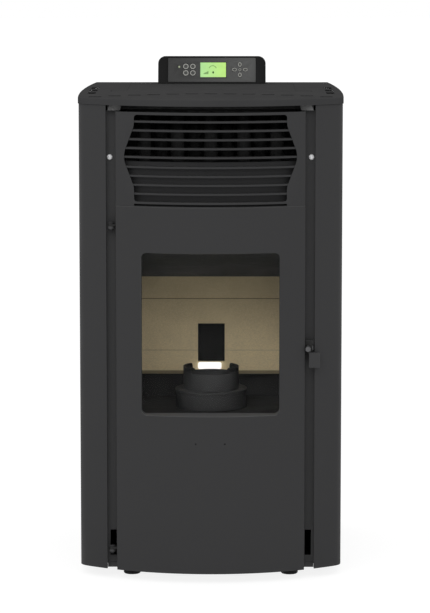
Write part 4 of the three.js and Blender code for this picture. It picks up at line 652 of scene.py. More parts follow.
# %% Top sheet
TOP_OVERHANG = 1.5 * MM
MOUTH_HALF = 180.5 * MM
MOUTH_FRONT = FRONT_Y + 310 * MM
MOUTH_REAR = FRONT_Y + 560 * MM
LID_AXIS_Y = FRONT_Y + 552 * MM
LID_AXIS_Z = 1000 * MM
LID_PIN_RADIUS = 3 * MM
VENTS = 13
VENT_PITCH = 40 * MM
VENT_SIZE = (27 * MM, 24 * MM)
VENT_CORNER = 5 * MM
VENT_ARC_FRONT = FRONT_Y + 206 * MM
VENT_ARC_DROP = 105 * MM
VENT_ARC_HALF = 250 * MM
SIDE_VENT_X = 252 * MM
SIDE_VENT_YS = (238 * MM, 323 * MM, 408 * MM)
SIDE_VENT_SIZE = (17 * MM, 58 * MM)
BEAD = 3 * MM
BEAD_END_X = 215 * MM
BEAD_TURN = 26 * MM
RIM_REACH = 0.4 * MM

top_low, top_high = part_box("top_plate")
rim_bottom = top_low.z - RIM_REACH


def top_rim():
    grown = BOW_RADIUS + TOP_OVERHANG
    piece = upright_edge("top_sheet", 0, bow_centre.y - grown, rim_bottom, top_high.z)
    side_radius = SIDE_RADIUS + TOP_OVERHANG
    rear_half = side_centre.x + math.sqrt(side_radius**2 - (top_high.y - side_centre.y) ** 2)
    with editing(piece):
        for centre, angle, steps in casing_arcs(-TOP_OVERHANG, 0, top_high.y):
            sweep(centre, angle, steps)
        extrude((-rear_half, 0, 0))
    mirror_across(piece)
    cap(piece, top_high.z)
    with editing(piece):
        pick("EDGE", at_height(top_high.z))
        bevel(2.5 * MM, 4)
    tidy_faces(piece, open_shell_inside=(0, 0, 0.9))
    thicken(piece)
    return piece


def slot_cutter(x, y, size):
    low = (x - size[0] / 2, y - size[1] / 2, top_low.z - MM)
    high = (x + size[0] / 2, y + size[1] / 2, top_high.z + MM)
    return rounded_block("vent", low, high, VENT_CORNER, axis=2, segments=5)


def vent_cutters():
    cutters = []
    for index in range(VENTS):
        x = (index - (VENTS - 1) / 2) * VENT_PITCH
        y = VENT_ARC_FRONT - VENT_ARC_DROP * (x / VENT_ARC_HALF) ** 2
        cutters.append(slot_cutter(x, y, VENT_SIZE))
    for y in SIDE_VENT_YS:
        for side in (-1, 1):
            cutters.append(slot_cutter(side * SIDE_VENT_X, FRONT_Y + y, SIDE_VENT_SIZE))
    return cutters


def bead_cutters():
    """On each side a bead runs out from the mouth and turns forward at its end."""
    cutters = []
    rear = MOUTH_FRONT + BEAD / 2
    floor, above = top_high.z - MM, top_high.z + MM
    for side in (-1, 1):
        start, end = side * (MOUTH_HALF - 5 * MM), side * BEAD_END_X
        cutters.append(block("bead", (start, rear - BEAD, floor), (end, rear, above)))
        turned = (end - side * BEAD, rear - BEAD_TURN, floor)
        cutters.append(block("bead", turned, (end, rear - BEAD / 2, above)))
    return cutters


top = top_rim()
skirt = block(
    "mouth_skirt",
    (-MOUTH_HALF - SHEET, MOUTH_FRONT - SHEET, top_low.z),
    (MOUTH_HALF + SHEET, MOUTH_REAR + SHEET, top_high.z - MM),
)
combine(top, skirt, "UNION")
mouth = block(
    "mouth", (-MOUTH_HALF, MOUTH_FRONT, top_low.z - MM), (MOUTH_HALF, MOUTH_REAR, top_high.z + MM)
)
combine(top, mouth, "DIFFERENCE")
combine(top, join("vent_cutters", vent_cutters()), "DIFFERENCE")
for bead in bead_cutters():
    combine(top, bead, "DIFFERENCE")
socket_reach = MOUTH_HALF + 6 * MM
pin_socket = round_bar(
    "pin_socket",
    LID_PIN_RADIUS + GAP,
    (-socket_reach, LID_AXIS_Y, LID_AXIS_Z),
    (socket_reach, LID_AXIS_Y, LID_AXIS_Z),
    24,
)
combine(top, pin_socket, "DIFFERENCE")
round_edges(top, 0.45 * MM)
finished(top, "stove_body", ["top_plate"], "top_paint")

# %% [markdown]
# ## Hopper lid
#
# The lid lies flush in the top. It is a plate with a stiffening rim folded down under it. From a
# block, the underside is inset and pulled down, inset again and pushed back up, which leaves the
# rim standing. Two pins at the rear carry it.


# %% Lid
LID_LEAF = 2.5 * MM
LID_RIM_INSET = 4 * MM
LID_CORNER = 1.2 * MM


def lid():
    low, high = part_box("hopper_lid")
    half = MOUTH_HALF - GAP
    leaf_bottom = high.z - LID_LEAF
    front, rear = MOUTH_FRONT + GAP, high.y
    piece = block("lid", (-half, front, leaf_bottom), (half, rear, high.z))
    with editing(piece):
        pick("FACE", lambda f: f.normal.z < -0.9)
        bpy.ops.mesh.inset(thickness=LID_RIM_INSET)
        extrude((0, 0, low.z - leaf_bottom))
        bpy.ops.mesh.inset(thickness=SHEET)
        extrude((0, 0, leaf_bottom - low.z))
        pick("EDGE", lambda e: near(e.verts[0].co.x, e.verts[1].co.x)
             and near(e.verts[0].co.y, e.verts[1].co.y) and abs(middle(e).x) > half - MM)
        bevel(LID_CORNER, 3)
    tidy_faces(piece)
    for side in (-1, 1):
        start = (side * (half - 5 * MM), LID_AXIS_Y, LID_AXIS_Z)
        end = (side * high.x, LID_AXIS_Y, LID_AXIS_Z)
        combine(piece, round_bar("lid_pin", LID_PIN_RADIUS, start, end, 24), "UNION")
    round_edges(piece, 0.7 * MM)
    return piece


finished(lid(), "hopper_lid", ["hopper_lid"], "top_paint")

# %% [markdown]
# ## Console
#
# The control console leans back on the rear edge of the top. Its pieces are drawn upright, with
# the face towards the reader, and one helper leans each of them back to the same place. After the
# lean, two bisections trim the shell to the top sheet and to the rear of the stove.

# %% Console shell
CONSOLE_TILT = math.radians(20)
CONSOLE_HALF = 119.5 * MM
CONSOLE_DEPTH = 32 * MM
CONSOLE_CORNER = 17 * MM
CONSOLE_WALL = 3.5 * MM
CONSOLE_ROOT = 20 * MM
FACE_RISE = 60 * MM / math.cos(CONSOLE_TILT)
FACE_HALF = 97.5 * MM
FACE_FRONT = 1 * MM
FACE_THICK = 2 * MM
console_origin = Vector((0, FRONT_Y + 563 * MM, top_high.z + GAP))


def onto_console(piece):
    return put(piece, console_origin, (-CONSOLE_TILT, 0, 0))


def console_shell():
    """Drawn too long below and behind by its root, which the two bisections take off."""
    low = (-CONSOLE_HALF, 0, -CONSOLE_ROOT)
    piece = block("console_shell", low, (CONSOLE_HALF, CONSOLE_DEPTH + CONSOLE_ROOT, FACE_RISE))
    with editing(piece):
        pick("EDGE", lambda e: at_height(FACE_RISE)(e)
             and near(e.verts[0].co.x, e.verts[1].co.x))
        bevel(CONSOLE_CORNER, 10)
    recess = rounded_block(
        "console_recess",
        (-FACE_HALF - GAP, -MM, CONSOLE_WALL),
        (FACE_HALF + GAP, CONSOLE_DEPTH - CONSOLE_WALL, FACE_RISE - CONSOLE_WALL),
        2.5 * MM,
        axis=1,
    )
    combine(piece, recess, "DIFFERENCE")
    onto_console(piece)
    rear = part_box("console_housing")[1].y
    with editing(piece):
        select_everything()
        bpy.ops.mesh.bisect(
            plane_co=console_origin, plane_no=(0, 0, 1), use_fill=True, clear_inner=True
        )
        select_everything()
        bpy.ops.mesh.bisect(
            plane_co=(0, rear, 0), plane_no=(0, 1, 0), use_fill=True, clear_outer=True
        )
    tidy_faces(piece)
    round_edges(piece, 1.0 * MM, segments=3)
    return piece


finished(console_shell(), "stove_body", ["console_housing"], "black_plastic")

# %% [markdown]
# ## Face, display and keys of the console
#
# The face is a thin plate with a window for the display and a hole for each key. Four round keys
# stand on the left and a cross of five on the right. Each key is a short round bar, stretched if
# it is oval: its front is inset and pushed in for a finger, and its rear gets the flange that
# keeps it behind the plate. No name is printed on the face, and its place is bare.

# %% Face plate
LCD_X = 2.8 * MM
LCD_Z = 32 * MM
LCD_HALF = (28.4 * MM, 17 * MM)
LED_X = -72.6 * MM
LED_Z = 39 * MM
LED_RADIUS = 2.2 * MM
ROUND_KEY = 6.2 * MM
PAD_X = 62.2 * MM
PAD_Z = 32 * MM
PAD_REACH = 12 * MM
PAD_LONG = 5.2 * MM
PAD_SHORT = 4 * MM
OK_KEY = 3.2 * MM
ROUND_KEY_XS = (-57.9 * MM, -42.3 * MM)
ROUND_KEY_ZS = (24.5 * MM, 39.5 * MM)
KEYS = {
    "key_lower_left": (ROUND_KEY_XS[0], ROUND_KEY_ZS[0], ROUND_KEY, ROUND_KEY),
    "key_lower_right": (ROUND_KEY_XS[1], ROUND_KEY_ZS[0], ROUND_KEY, ROUND_KEY),
    "key_upper_left": (ROUND_KEY_XS[0], ROUND_KEY_ZS[1], ROUND_KEY, ROUND_KEY),
    "key_upper_right": (ROUND_KEY_XS[1], ROUND_KEY_ZS[1], ROUND_KEY, ROUND_KEY),
    "key_up": (PAD_X, PAD_Z + PAD_REACH, PAD_SHORT, PAD_LONG),
    "key_down": (PAD_X, PAD_Z - PAD_REACH, PAD_SHORT, PAD_LONG),
    "key_left": (PAD_X - PAD_REACH, PAD_Z, PAD_LONG, PAD_SHORT),
    "key_right": (PAD_X + PAD_REACH, PAD_Z, PAD_LONG, PAD_SHORT),
    "key_ok": (PAD_X, PAD_Z, OK_KEY, OK_KEY),
}


def oval_bar(name, x, z, wide, tall, front, rear, sides=40):
    piece = round_bar(name, wide, (0, front, 0), (0, rear, 0), sides)
    return put(piece, (x, 0, z), scale=(1, 1, tall / wide))


def lcd_frame_block(name, grow, front, rear, radius):
    low = (LCD_X - LCD_HALF[0] - grow, front, LCD_Z - LCD_HALF[1] - grow)
    high = (LCD_X + LCD_HALF[0] + grow, rear, LCD_Z + LCD_HALF[1] + grow)
    return rounded_block(name, low, high, radius, axis=1, segments=4)


def face_plate():
    rim = CONSOLE_WALL + GAP
    low = (-FACE_HALF, FACE_FRONT, rim)
    high = (FACE_HALF, FACE_FRONT + FACE_THICK, FACE_RISE - rim)
    piece = rounded_block("console_plate", low, high, 2.2 * MM, axis=1, segments=5)
    front, rear = -MM, 2 * FACE_THICK
    cutters = [lcd_frame_block("lcd_window", GAP, front, rear, MM)]
    for x, z, wide, tall in [(LED_X, LED_Z, LED_RADIUS, LED_RADIUS), *KEYS.values()]:
        cutters.append(oval_bar("round_hole", x, z, wide + GAP, tall + GAP, front, rear))
    combine(piece, join("face_cutters", cutters), "DIFFERENCE")
    round_edges(piece, 0.25 * MM)
    return onto_console(piece)


def lcd_frame():
    front, rear = FACE_FRONT - 0.5 * MM, FACE_FRONT - 0.05 * MM
    piece = lcd_frame_block("lcd_border", 2.2 * MM, front, rear, 2 * MM)
    combine(piece, lcd_frame_block("lcd_inside", 0, -MM, 2 * MM, 0.5 * MM), "DIFFERENCE")
    round_edges(piece, 0.15 * MM)
    return onto_console(piece)


finished(face_plate(), "stove_body", ["console_face"], "face_film")
finished(lcd_frame(), "stove_body", slot="key_film")


# %% Keys
KEY_STANDS_OUT = 0.9 * MM
KEY_RING_SHARE = 0.16
KEY_DISH = 0.35 * MM
KEY_FLANGE = 1.2 * MM
KEY_FLANGE_REACH = 1.3 * MM


def key_cap(name, x, z, wide, tall):
    front = FACE_FRONT - KEY_STANDS_OUT
    flange_front = FACE_FRONT + FACE_THICK + GAP
    piece = oval_bar(name + "_cap", 0, 0, wide, tall, front, flange_front)
    with editing(piece):
        pick("FACE", lambda f: f.normal.y < -0.9)
        bpy.ops.mesh.inset(thickness=KEY_RING_SHARE * tall)
        bpy.ops.mesh.inset(thickness=KEY_RING_SHARE * tall)
        extrude((0, KEY_DISH, 0))
        pick("FACE", lambda f: f.normal.y > 0.9 and middle(f).y > FACE_FRONT + FACE_THICK)
        extrude((0, 0, 0))
        growth = (wide + KEY_FLANGE_REACH) / wide
        bpy.ops.transform.resize(value=(growth, 1, growth), center_override=(0, flange_front, 0))
        extrude((0, KEY_FLANGE, 0))
    tidy_faces(piece)
    round_edges(piece, 0.18 * MM)
    return onto_console(put(piece, (x, 0, z)))


caps = {}
for key, (x, z, wide, tall) in KEYS.items():
    caps[key] = finished(key_cap(key, x, z, wide, tall), key, [key], "key_film")


# %% Display marks and lamp
def lcd_marks():
    """A row of rising bars, a bow of dots and a drop: signs of no maker."""
    ink_front = FACE_FRONT + 0.1 * MM
    ink_rear = ink_front + 0.3 * MM
    foot = LCD_Z - 10 * MM
    marks = []
    for step in range(5):
        x = LCD_X - 21 * MM + step * 2.2 * MM
        tall = (2 + 1.2 * step) * MM
        marks.append(block("mark", (x, ink_front, foot), (x + 1.4 * MM, ink_rear, foot + tall)))
    for step in range(11):
        angle = math.radians(25 + step * 13)
        x = LCD_X - MM + 8.5 * MM * math.cos(angle)
        z = LCD_Z + MM + 8.5 * MM * math.sin(angle)
        marks.append(oval_bar("mark", x, z, 0.8 * MM, 0.8 * MM, ink_front, ink_rear, 12))
    marks.append(oval_bar("mark", LCD_X, LCD_Z - 6 * MM, 2.4 * MM, 3.6 * MM, ink_front, ink_rear, 4))
    piece = join("lcd_marks", marks)
    round_edges(piece, 0.1 * MM, segments=1)
    return onto_console(piece)


def led_lens():
    front = FACE_FRONT - 0.6 * MM
    rear = FACE_FRONT + FACE_THICK + GAP + 3 * MM
    piece = oval_bar("led_dome", LED_X, LED_Z, LED_RADIUS, LED_RADIUS, front, rear, 32)
    with editing(piece):
        pick("EDGE", lambda e: all(near(v.co.y, front) for v in e.verts))
        bevel(0.55 * MM, 5)
    return onto_console(piece)


finished(lcd_marks(), "stove_body", slot="lcd")
finished(led_lens(), "stove_body", ["status_led"], "led_lens")

# %% [markdown]
# ## Round pieces
#
# Feet, hinge pins, screws and the ring under the burn pot are turned on a lathe in real life, so
# they are turned here too: a profile is drawn corner by corner with Extrude from a single vertex,
# and Spin takes it all the way round.


# %% Lathe
def upright_axis(node):
    """The point on the floor under the middle of a node's box."""
    low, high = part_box(node)
    return ((low.x + high.x) / 2, (low.y + high.y) / 2, 0)


def lathe(name, profile, centre, sides=64):
    """Turn (radius, height) corners round an upright axis."""
    centre = Vector(centre)
    (radius, height), *rest = profile
    start = centre + Vector((radius, 0, height))
    bpy.ops.object.select_all(action="DESELECT")
    bpy.ops.mesh.primitive_plane_add(size=MM, location=start + Vector((MM / 2, MM / 2, 0)))
    piece = settle(name)
    with editing(piece):
        pick("VERT", lambda v: (v.co - start).length > MM / 4)
        bpy.ops.mesh.delete(type="VERT")
        select_everything()
        for next_radius, next_height in rest:
            extrude((next_radius - radius, 0, next_height - height))
            radius, height = next_radius, next_height
        select_everything()
        bpy.ops.mesh.remove_doubles(threshold=1e-6)
        bpy.ops.mesh.spin(
            steps=sides, angle=math.tau, center=tuple(centre), axis=(0, 0, 1), use_auto_merge=True
        )
    tidy_faces(piece)
    return piece


# %% Feet
FEET = ("foot_front_left", "foot_front_right", "foot_rear_left", "foot_rear_right")
FOOT_PAD = 18 * MM
FOOT_NECK = 8 * MM
FOOT_STEM = 5 * MM
FOOT_PAD_HEIGHT = 10 * MM

for foot in FEET:
    top_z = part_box(foot)[1].z
    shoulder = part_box("base_pan")[0].z - GAP
    profile = [
        (0, 0), (FOOT_PAD - 2 * MM, 0), (FOOT_PAD, 2 * MM), (FOOT_PAD, FOOT_PAD_HEIGHT - 4 * MM),
        (FOOT_PAD - 4 * MM, FOOT_PAD_HEIGHT), (FOOT_NECK, FOOT_PAD_HEIGHT + MM),
        (FOOT_NECK, shoulder), (FOOT_STEM, shoulder), (FOOT_STEM, top_z - MM),
        (FOOT_STEM - MM, top_z), (0, top_z),
    ]
    piece = lathe(foot + "_pad", profile, upright_axis(foot), 48)
    round_edges(piece, 0.5 * MM)
    finished(piece, "stove_body", [foot], "black_plastic")


# %% Hinge pins
PIN_RADIUS = 4 * MM
PIN_HEAD = 3 * MM


def hinge_pin(node):
    low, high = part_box(node)
    head_radius = high.x - (low.x + high.x) / 2
    profile = [
        (0, low.z), (PIN_RADIUS - MM, low.z), (PIN_RADIUS, low.z + MM),
        (PIN_RADIUS, high.z - PIN_HEAD), (head_radius, high.z - PIN_HEAD), (head_radius, high.z),
        (0, high.z),
    ]
    piece = lathe(node + "_turned", profile, upright_axis(node), 40)
    round_edges(piece, 0.6 * MM, segments=3)
    return piece


for node_name in HINGE_PINS:
    finished(hinge_pin(node_name), "stove_body", [node_name])


# %% Panel screws
SCREW_STEM = 3 * MM
SCREW_HEAD = 4 * MM
CROSS_REACH = 4 * MM
CROSS_HALF = 0.6 * MM
CROSS_DEPTH = 1.4 * MM


def panel_screw(node):
    low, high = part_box(node)
    head_radius = (high.x - low.x) / 2
    seat = low.y + SCREW_HEAD
    tip = seat - high.y
    profile = [(0, tip), (SCREW_STEM, tip), (SCREW_STEM, 0), (head_radius, 0)]
    for angle in map(math.radians, range(0, 90, 15)):
        height = SCREW_HEAD * (0.35 + 0.65 * math.sin(angle))
        profile.append((head_radius * math.cos(angle), height))
    piece = lathe(node + "_head", [*profile, (0, SCREW_HEAD)], (0, 0, 0), 40)
    for x, y in ((CROSS_REACH, CROSS_HALF), (CROSS_HALF, CROSS_REACH)):
        slot = block("slot", (-x, -y, SCREW_HEAD - CROSS_DEPTH), (x, y, SCREW_HEAD + MM))
        combine(piece, slot, "DIFFERENCE")
    round_edges(piece, 0.2 * MM)
    return put(piece, ((low.x + high.x) / 2, seat, (low.z + high.z) / 2), (math.pi / 2, 0, 0))


for node_name in ("panel_screw_left", "panel_screw_right"):
    finished(panel_screw(node_name), "stove_body", [node_name], "zinc")

# %% [markdown]
# ## Burn pot
#
# The pot is a thick cast cup with two raised ears on its rim, one on each side, which a tool
# grips to lift it out. The cup comes from a round bar whose top is inset and pushed down. The ears
# are part of the rim's ring of faces, pulled up and rounded at their ends, and the rim behind
# them sits a little lower. The pot stands in a turned ring on the firebox floor.

# %% Pot and ring
POT_WALL = 4 * MM
POT_FLOOR = 5 * MM
POT_HOLES = 8
POT_HOLE_RADIUS = 4 * MM
POT_HOLE_CIRCLE = 30 * MM
EAR_RISE = 11 * MM
EAR_HALF = 40 * MM
EAR_ROUND = 10.5 * MM
REAR_RIM_DROP = 5 * MM
RING_BORE = 46 * MM
RING_SHELF = 7 * MM
RING_BEAD = 2 * MM

pot_low, pot_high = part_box("burn_pot")
pot_middle = (pot_low + pot_high) / 2
pot_radius = (pot_high.y - pot_low.y) / 2


def from_axis(vertex):
    return math.hypot(vertex.co.x - pot_middle.x, vertex.co.y - pot_middle.y)


def pot_cup():
    rim = pot_high.z - EAR_RISE
    axis = (pot_middle.x, pot_middle.y)
    piece = round_bar("pot_cup", pot_radius, (*axis, pot_low.z), (*axis, rim), 96)
    with editing(piece):
        pick("FACE", lambda f: f.normal.z > 0.9)
        bpy.ops.mesh.inset(thickness=POT_WALL)
        extrude((0, 0, pot_low.z + POT_FLOOR - rim))
        pick("FACE", lambda f: f.normal.z > 0.9 and near(middle(f).z, rim)
             and abs(middle(f).y - axis[1]) < EAR_HALF)
        extrude((0, 0, EAR_RISE))
        ends = max(abs(v.co.y - axis[1]) for v in
                   bmesh.from_edit_mesh(bpy.context.edit_object.data).verts if v.select)
        pick("EDGE", lambda e: at_height(pot_high.z)(e)
             and all(abs(v.co.y - axis[1]) > ends - 3 * MM for v in e.verts)
             and abs(from_axis(e.verts[0]) - from_axis(e.verts[1])) > 2 * MM)
        bevel(EAR_ROUND, 8)
        pick("VERT", lambda v: near(v.co.z, rim) and v.co.y > axis[1] + EAR_HALF + 2 * MM)
        bpy.ops.transform.translate(value=(0, 0, -REAR_RIM_DROP))
    holes = []
    for index in range(POT_HOLES):
        angle = index / POT_HOLES * math.tau
        x = axis[0] + POT_HOLE_CIRCLE * math.cos(angle)
        y = axis[1] + POT_HOLE_CIRCLE * math.sin(angle)
        start, end = (x, y, pot_low.z - MM), (x, y, pot_low.z + POT_FLOOR + MM)
        holes.append(round_bar("hole", POT_HOLE_RADIUS, start, end, 20))
    combine(piece, join("holes", holes), "DIFFERENCE")
    round_edges(piece, 1.0 * MM, segments=3)
    return piece


def pot_ring():
    low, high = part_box("pot_support")
    outer = (high.x - low.x) / 2
    shelf = low.z + RING_SHELF
    seat = pot_radius + GAP
    profile = [
        (RING_BORE, low.z), (outer - RING_BEAD, low.z), (outer - RING_BEAD, high.z - 6 * MM),
        (outer, high.z - 5 * MM), (outer, high.z), (seat, high.z), (seat, shelf),
        (RING_BORE, shelf), (RING_BORE, low.z),
    ]
    piece = lathe("pot_ring", profile, (pot_middle.x, pot_middle.y, 0), 96)
    round_edges(piece, 0.9 * MM, segments=3)
    return piece


finished(pot_cup(), "burn_pot", ["burn_pot"], "cast_iron")
finished(pot_ring(), "stove_body", ["pot_support"], "cast_iron")

# %% [markdown]
# ## Door seal
#
# A knitted glass rope runs round the back of the door and is squeezed against the firebox. One
# round section is extruded up a side, spun round a corner, extruded along the next side, and so
# on until it meets itself.


# %% Rope seal
ROPE_HALF = 5 * MM
ROPE_TURN = 9 * MM


def rope_seal():
    low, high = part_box("door_gasket")
    thick = (high.y - low.y) / 2
    half, turn = ROPE_HALF, ROPE_TURN
    y = (low.y + high.y) / 2
    left, right = low.x + half, high.x - half
    bottom, top_z = low.z + half, high.z - half
    start = (left, y, bottom + turn)
    piece = round_bar("door_rope", half, start, (left, y, top_z - turn), 20)
    corners = [
        ((left + turn, y, top_z - turn), (right - left - 2 * turn, 0, 0)),
        ((right - turn, y, top_z - turn), (0, 0, bottom - top_z + 2 * turn)),
        ((right - turn, y, bottom + turn), (left - right + 2 * turn, 0, 0)),
        ((left + turn, y, bottom + turn), None),
    ]
    with editing(piece):
        pick("FACE", lambda f: abs(f.normal.z) > 0.9)
        bpy.ops.mesh.delete(type="ONLY_FACE")
        pick("VERT", lambda v: near(v.co.z, top_z - turn))
        for centre, run in corners:
            bpy.ops.mesh.spin(steps=8, angle=-math.pi / 2, center=centre, axis=(0, 1, 0))
            if run:
                extrude(run)
        select_everything()
        bpy.ops.mesh.remove_doubles(threshold=1e-5)
        squeeze = thick / half
        bpy.ops.transform.resize(value=(1, squeeze, 1), center_override=(0, y, 0))
    tidy_faces(piece)
    return piece


finished(rope_seal(), "door", ["door_gasket"], "rope_seal")

# %% [markdown]
# ## Pieces kept as they come
#
# Posts, firebox, blower, hopper and the other hidden pieces keep the shape they were packed with.
# Pressed and welded parts never have razor edges, so live modifiers weld each mesh, round its
# sharp edges by a fraction of a millimetre and even out the shading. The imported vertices
# themselves are left alone.


# %% Soften the carried-over pieces
def soften(piece, width):
    alone(piece)
    if piece.data.has_custom_normals:
        bpy.ops.mesh.customdata_custom_splitnormals_clear()
    bpy.ops.object.shade_smooth()
    weld = piece.modifiers.new("weld", "WELD")
    weld.merge_threshold = 0.01 * MM
    bevel = piece.modifiers.new("soft_edges", "BEVEL")
    bevel.width = width
    bevel.segments = 2
    bevel.limit_method = "ANGLE"
    bevel.angle_limit = math.radians(38)
    evener = piece.modifiers.new("even_shading", "WEIGHTED_NORMAL")
    evener.keep_sharp = True


EDGE_WIDTHS = {"door_glass": 0.8 * MM, "auger_screw": 0.3 * MM, "igniter": 0.8 * MM}
replaced = {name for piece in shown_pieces() for name in piece.get("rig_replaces", [])}
kept = [name for name in frame["nodes"] if name not in replaced]
for name in kept:
    soften(frame["nodes"][name], EDGE_WIDTHS.get(name, 0.5 * MM))
print(len(kept), "pieces softened:", ", ".join(sorted(kept)))

# %% [markdown]
# ## Shared surface effects
#
# Real finishes are never one flat colour. Each effect below is a small node group that reads
# Object coordinates, so that it keeps its scale and stays with its piece when the piece moves.
# Groups hand out only heights, tones and masks, and every material blends them in its own way.


# %% Node helpers
def add(tree, kind, inputs=None, **settings):
    item = tree.nodes.new(kind if kind.startswith("Node") else "ShaderNode" + kind)
    for key, value in settings.items():
        setattr(item, key, value)
    for key, value in (inputs or {}).items():
        if isinstance(value, bpy.types.NodeSocket):
            tree.links.new(value, item.inputs[key])
        else:
            item.inputs[key].default_value = value
    return item


def calc(tree, operation, *values, clamp=False):
    inputs = dict(enumerate(values))
    return add(tree, "Math", inputs, operation=operation, use_clamp=clamp).outputs[0]


def times(tree, first, second):
    return calc(tree, "MULTIPLY", first, second)


def mix(tree, factor, first, second, blend="MIX"):
    item = add(tree, "Mix", data_type="RGBA", blend_type=blend)
    for index, value in ((0, factor), (6, first), (7, second)):
        if isinstance(value, bpy.types.NodeSocket):
            tree.links.new(value, item.inputs[index])
        else:
            item.inputs[index].default_value = value
    return item.outputs[2]


def place(tree, stretch=(1, 1, 1)):
    spot = add(tree, "TexCoord").outputs["Object"]
    return add(tree, "Mapping", {"Vector": spot, "Scale": stretch}).outputs[0]


def noise(tree, spot, scale, detail=2.0, roughness=0.5):
    inputs = {"Vector": spot, "Scale": scale, "Detail": detail, "Roughness": roughness}
    return add(tree, "TexNoise", inputs).outputs[0]


def ramp(tree, value, low, high, to_low=0.0, to_high=1.0):
    inputs = {0: value, 1: low, 2: high, 3: to_low, 4: to_high}
    return add(tree, "MapRange", inputs, interpolation_type="SMOOTHSTEP").outputs[0]


def effect(name, inputs, outputs, build):
    """A shader node group of plain values; build returns one socket for each output."""
    tree = bpy.data.node_groups.new(name, "ShaderNodeTree")
    for label, value in inputs.items():
        socket = tree.interface.new_socket(label, in_out="INPUT", socket_type="NodeSocketFloat")
        socket.default_value = value
    for label in outputs:
        tree.interface.new_socket(label, in_out="OUTPUT", socket_type="NodeSocketFloat")
    given = add(tree, "NodeGroupInput").outputs
    result = add(tree, "NodeGroupOutput")
    for label, socket in zip(outputs, build(tree, given)):
        tree.links.new(socket, result.inputs[label])
    print("effect", name, "gives", ", ".join(outputs))
    return tree


# %% [markdown]
# Powder coat has a fine sandy grain over a slow orange peel. The sheet under it is never quite
# even, which shows as broad, very faint clouds. Edges get a lighter tone, partly a painted
# highlight along each rounded edge and partly rubbing where the coat is thin, and dust settles on
# whatever faces up. Hot pieces carry soot in patches, galvanised sheet shows crystals, rolled
# plate shows lines, and vermiculite board is made of pressed flakes.


# %% Effects
def powder_grain(tree, given):
    spot = place(tree)
    fine = noise(tree, spot, 1500, 3, 0.6)
    peel = noise(tree, spot, 170, 1, 0.4)
    height = calc(tree, "ADD", times(tree, fine, 0.7), times(tree, peel, 0.3))
    tone = ramp(tree, fine, 0.25, 0.75, 0.93, 1.07)
    return height, tone


def clouds(tree, given):
    spot = place(tree)
    broad = noise(tree, spot, given["Scale"], 3, 0.55)
    low = calc(tree, "SUBTRACT", 1.0, given["Depth"])
    high = calc(tree, "ADD", 1.0, given["Depth"])
    return (ramp(tree, broad, 0.3, 0.7, low, high),)


def edge_catch(tree, given):
    soft = add(tree, "Bevel", {"Radius": given["Radius"]}, samples=4).outputs[0]
    true = add(tree, "NewGeometry").outputs["Normal"]
    agree = add(tree, "VectorMath", {0: soft, 1: true}, operation="DOT_PRODUCT").outputs["Value"]
    patches = ramp(tree, noise(tree, place(tree), 60, 3), 0.35, 0.6, 0.4, 1.0)
    return (times(tree, ramp(tree, agree, 0.995, 0.9), patches),)


def dust_on_top(tree, given):
    facing = add(tree, "TexCoord").outputs["Normal"]
    upward = add(tree, "SeparateXYZ", {0: facing}).outputs[2]
    patches = ramp(tree, noise(tree, place(tree), 35, 5, 0.65), 0.35, 0.7, 0.3, 1.0)
    level = ramp(tree, upward, 0.7, 1.0)
    return (times(tree, times(tree, level, patches), given["Amount"]),)


def soot(tree, given):
    spot = place(tree)
    drift = noise(tree, spot, 14, 5, 0.6)
    speck = noise(tree, spot, 240, 2, 0.5)
    total = calc(tree, "ADD", times(tree, drift, 0.75), times(tree, speck, 0.25))
    return (times(tree, ramp(tree, total, 0.4, 0.62), given["Amount"]),)


def rolled_lines(tree, given):
    lines = noise(tree, place(tree, (1, 1, 40)), 90, 4, 0.6)
    spots = noise(tree, place(tree), 25, 3, 0.6)
    return lines, ramp(tree, times(tree, lines, spots), 0.1, 0.4, 0.85, 1.15)


def crystals(tree, given):
    spot = place(tree)
    cell = add(tree, "TexVoronoi", {"Vector": spot, "Scale": given["Scale"]}).outputs["Color"]
    value = add(tree, "SeparateColor", {0: cell}).outputs[0]
    return ramp(tree, value, 0.0, 1.0, 0.8, 1.2), noise(tree, spot, 700, 2)


def pressed_flakes(tree, given):
    spot = place(tree)
    wavy = add(tree, "Mapping", {"Vector": spot, "Scale": (1, 1, 1.6)}).outputs[0]
    cell = add(tree, "TexVoronoi", {"Vector": wavy, "Scale": 420}).outputs["Color"]
    flake = add(tree, "SeparateColor", {0: cell}).outputs[1]
    grain = noise(tree, spot, 260, 5, 0.7)
    return ramp(tree, flake, 0.0, 1.0, 0.93, 1.04), calc(tree, "ADD", grain, flake)


def knit(tree, given):
    twist = {"Vector": place(tree, (1, 3, 1)), "Scale": 95, "Distortion": 2.5, "Detail": 2.0}
    one = add(tree, "TexWave", twist, bands_direction="DIAGONAL").outputs[1]
    turned = {**twist, "Vector": place(tree, (-1, 3, 1))}
    two = add(tree, "TexWave", turned, bands_direction="DIAGONAL").outputs[1]
    return (calc(tree, "MAXIMUM", one, two),)


EFFECTS = {
    "grain": effect("powder_grain", {}, ["Height", "Tone"], powder_grain),
    "clouds": effect("broad_clouds", {"Scale": 5.0, "Depth": 0.04}, ["Tone"], clouds),
    "edges": effect("edge_catch", {"Radius": 0.0012}, ["Mask"], edge_catch),
    "dust": effect("dust_on_top", {"Amount": 0.1}, ["Mask"], dust_on_top),
    "soot": effect("soot_patches", {"Amount": 0.5}, ["Mask"], soot),
    "rolled": effect("rolled_lines", {}, ["Height", "Tone"], rolled_lines),
    "crystals": effect("zinc_crystals", {"Scale": 110.0}, ["Tone", "Height"], crystals),
    "flakes": effect("pressed_flakes", {}, ["Tone", "Height"], pressed_flakes),
    "knit": effect("glass_knit", {}, ["Height"], knit),
}
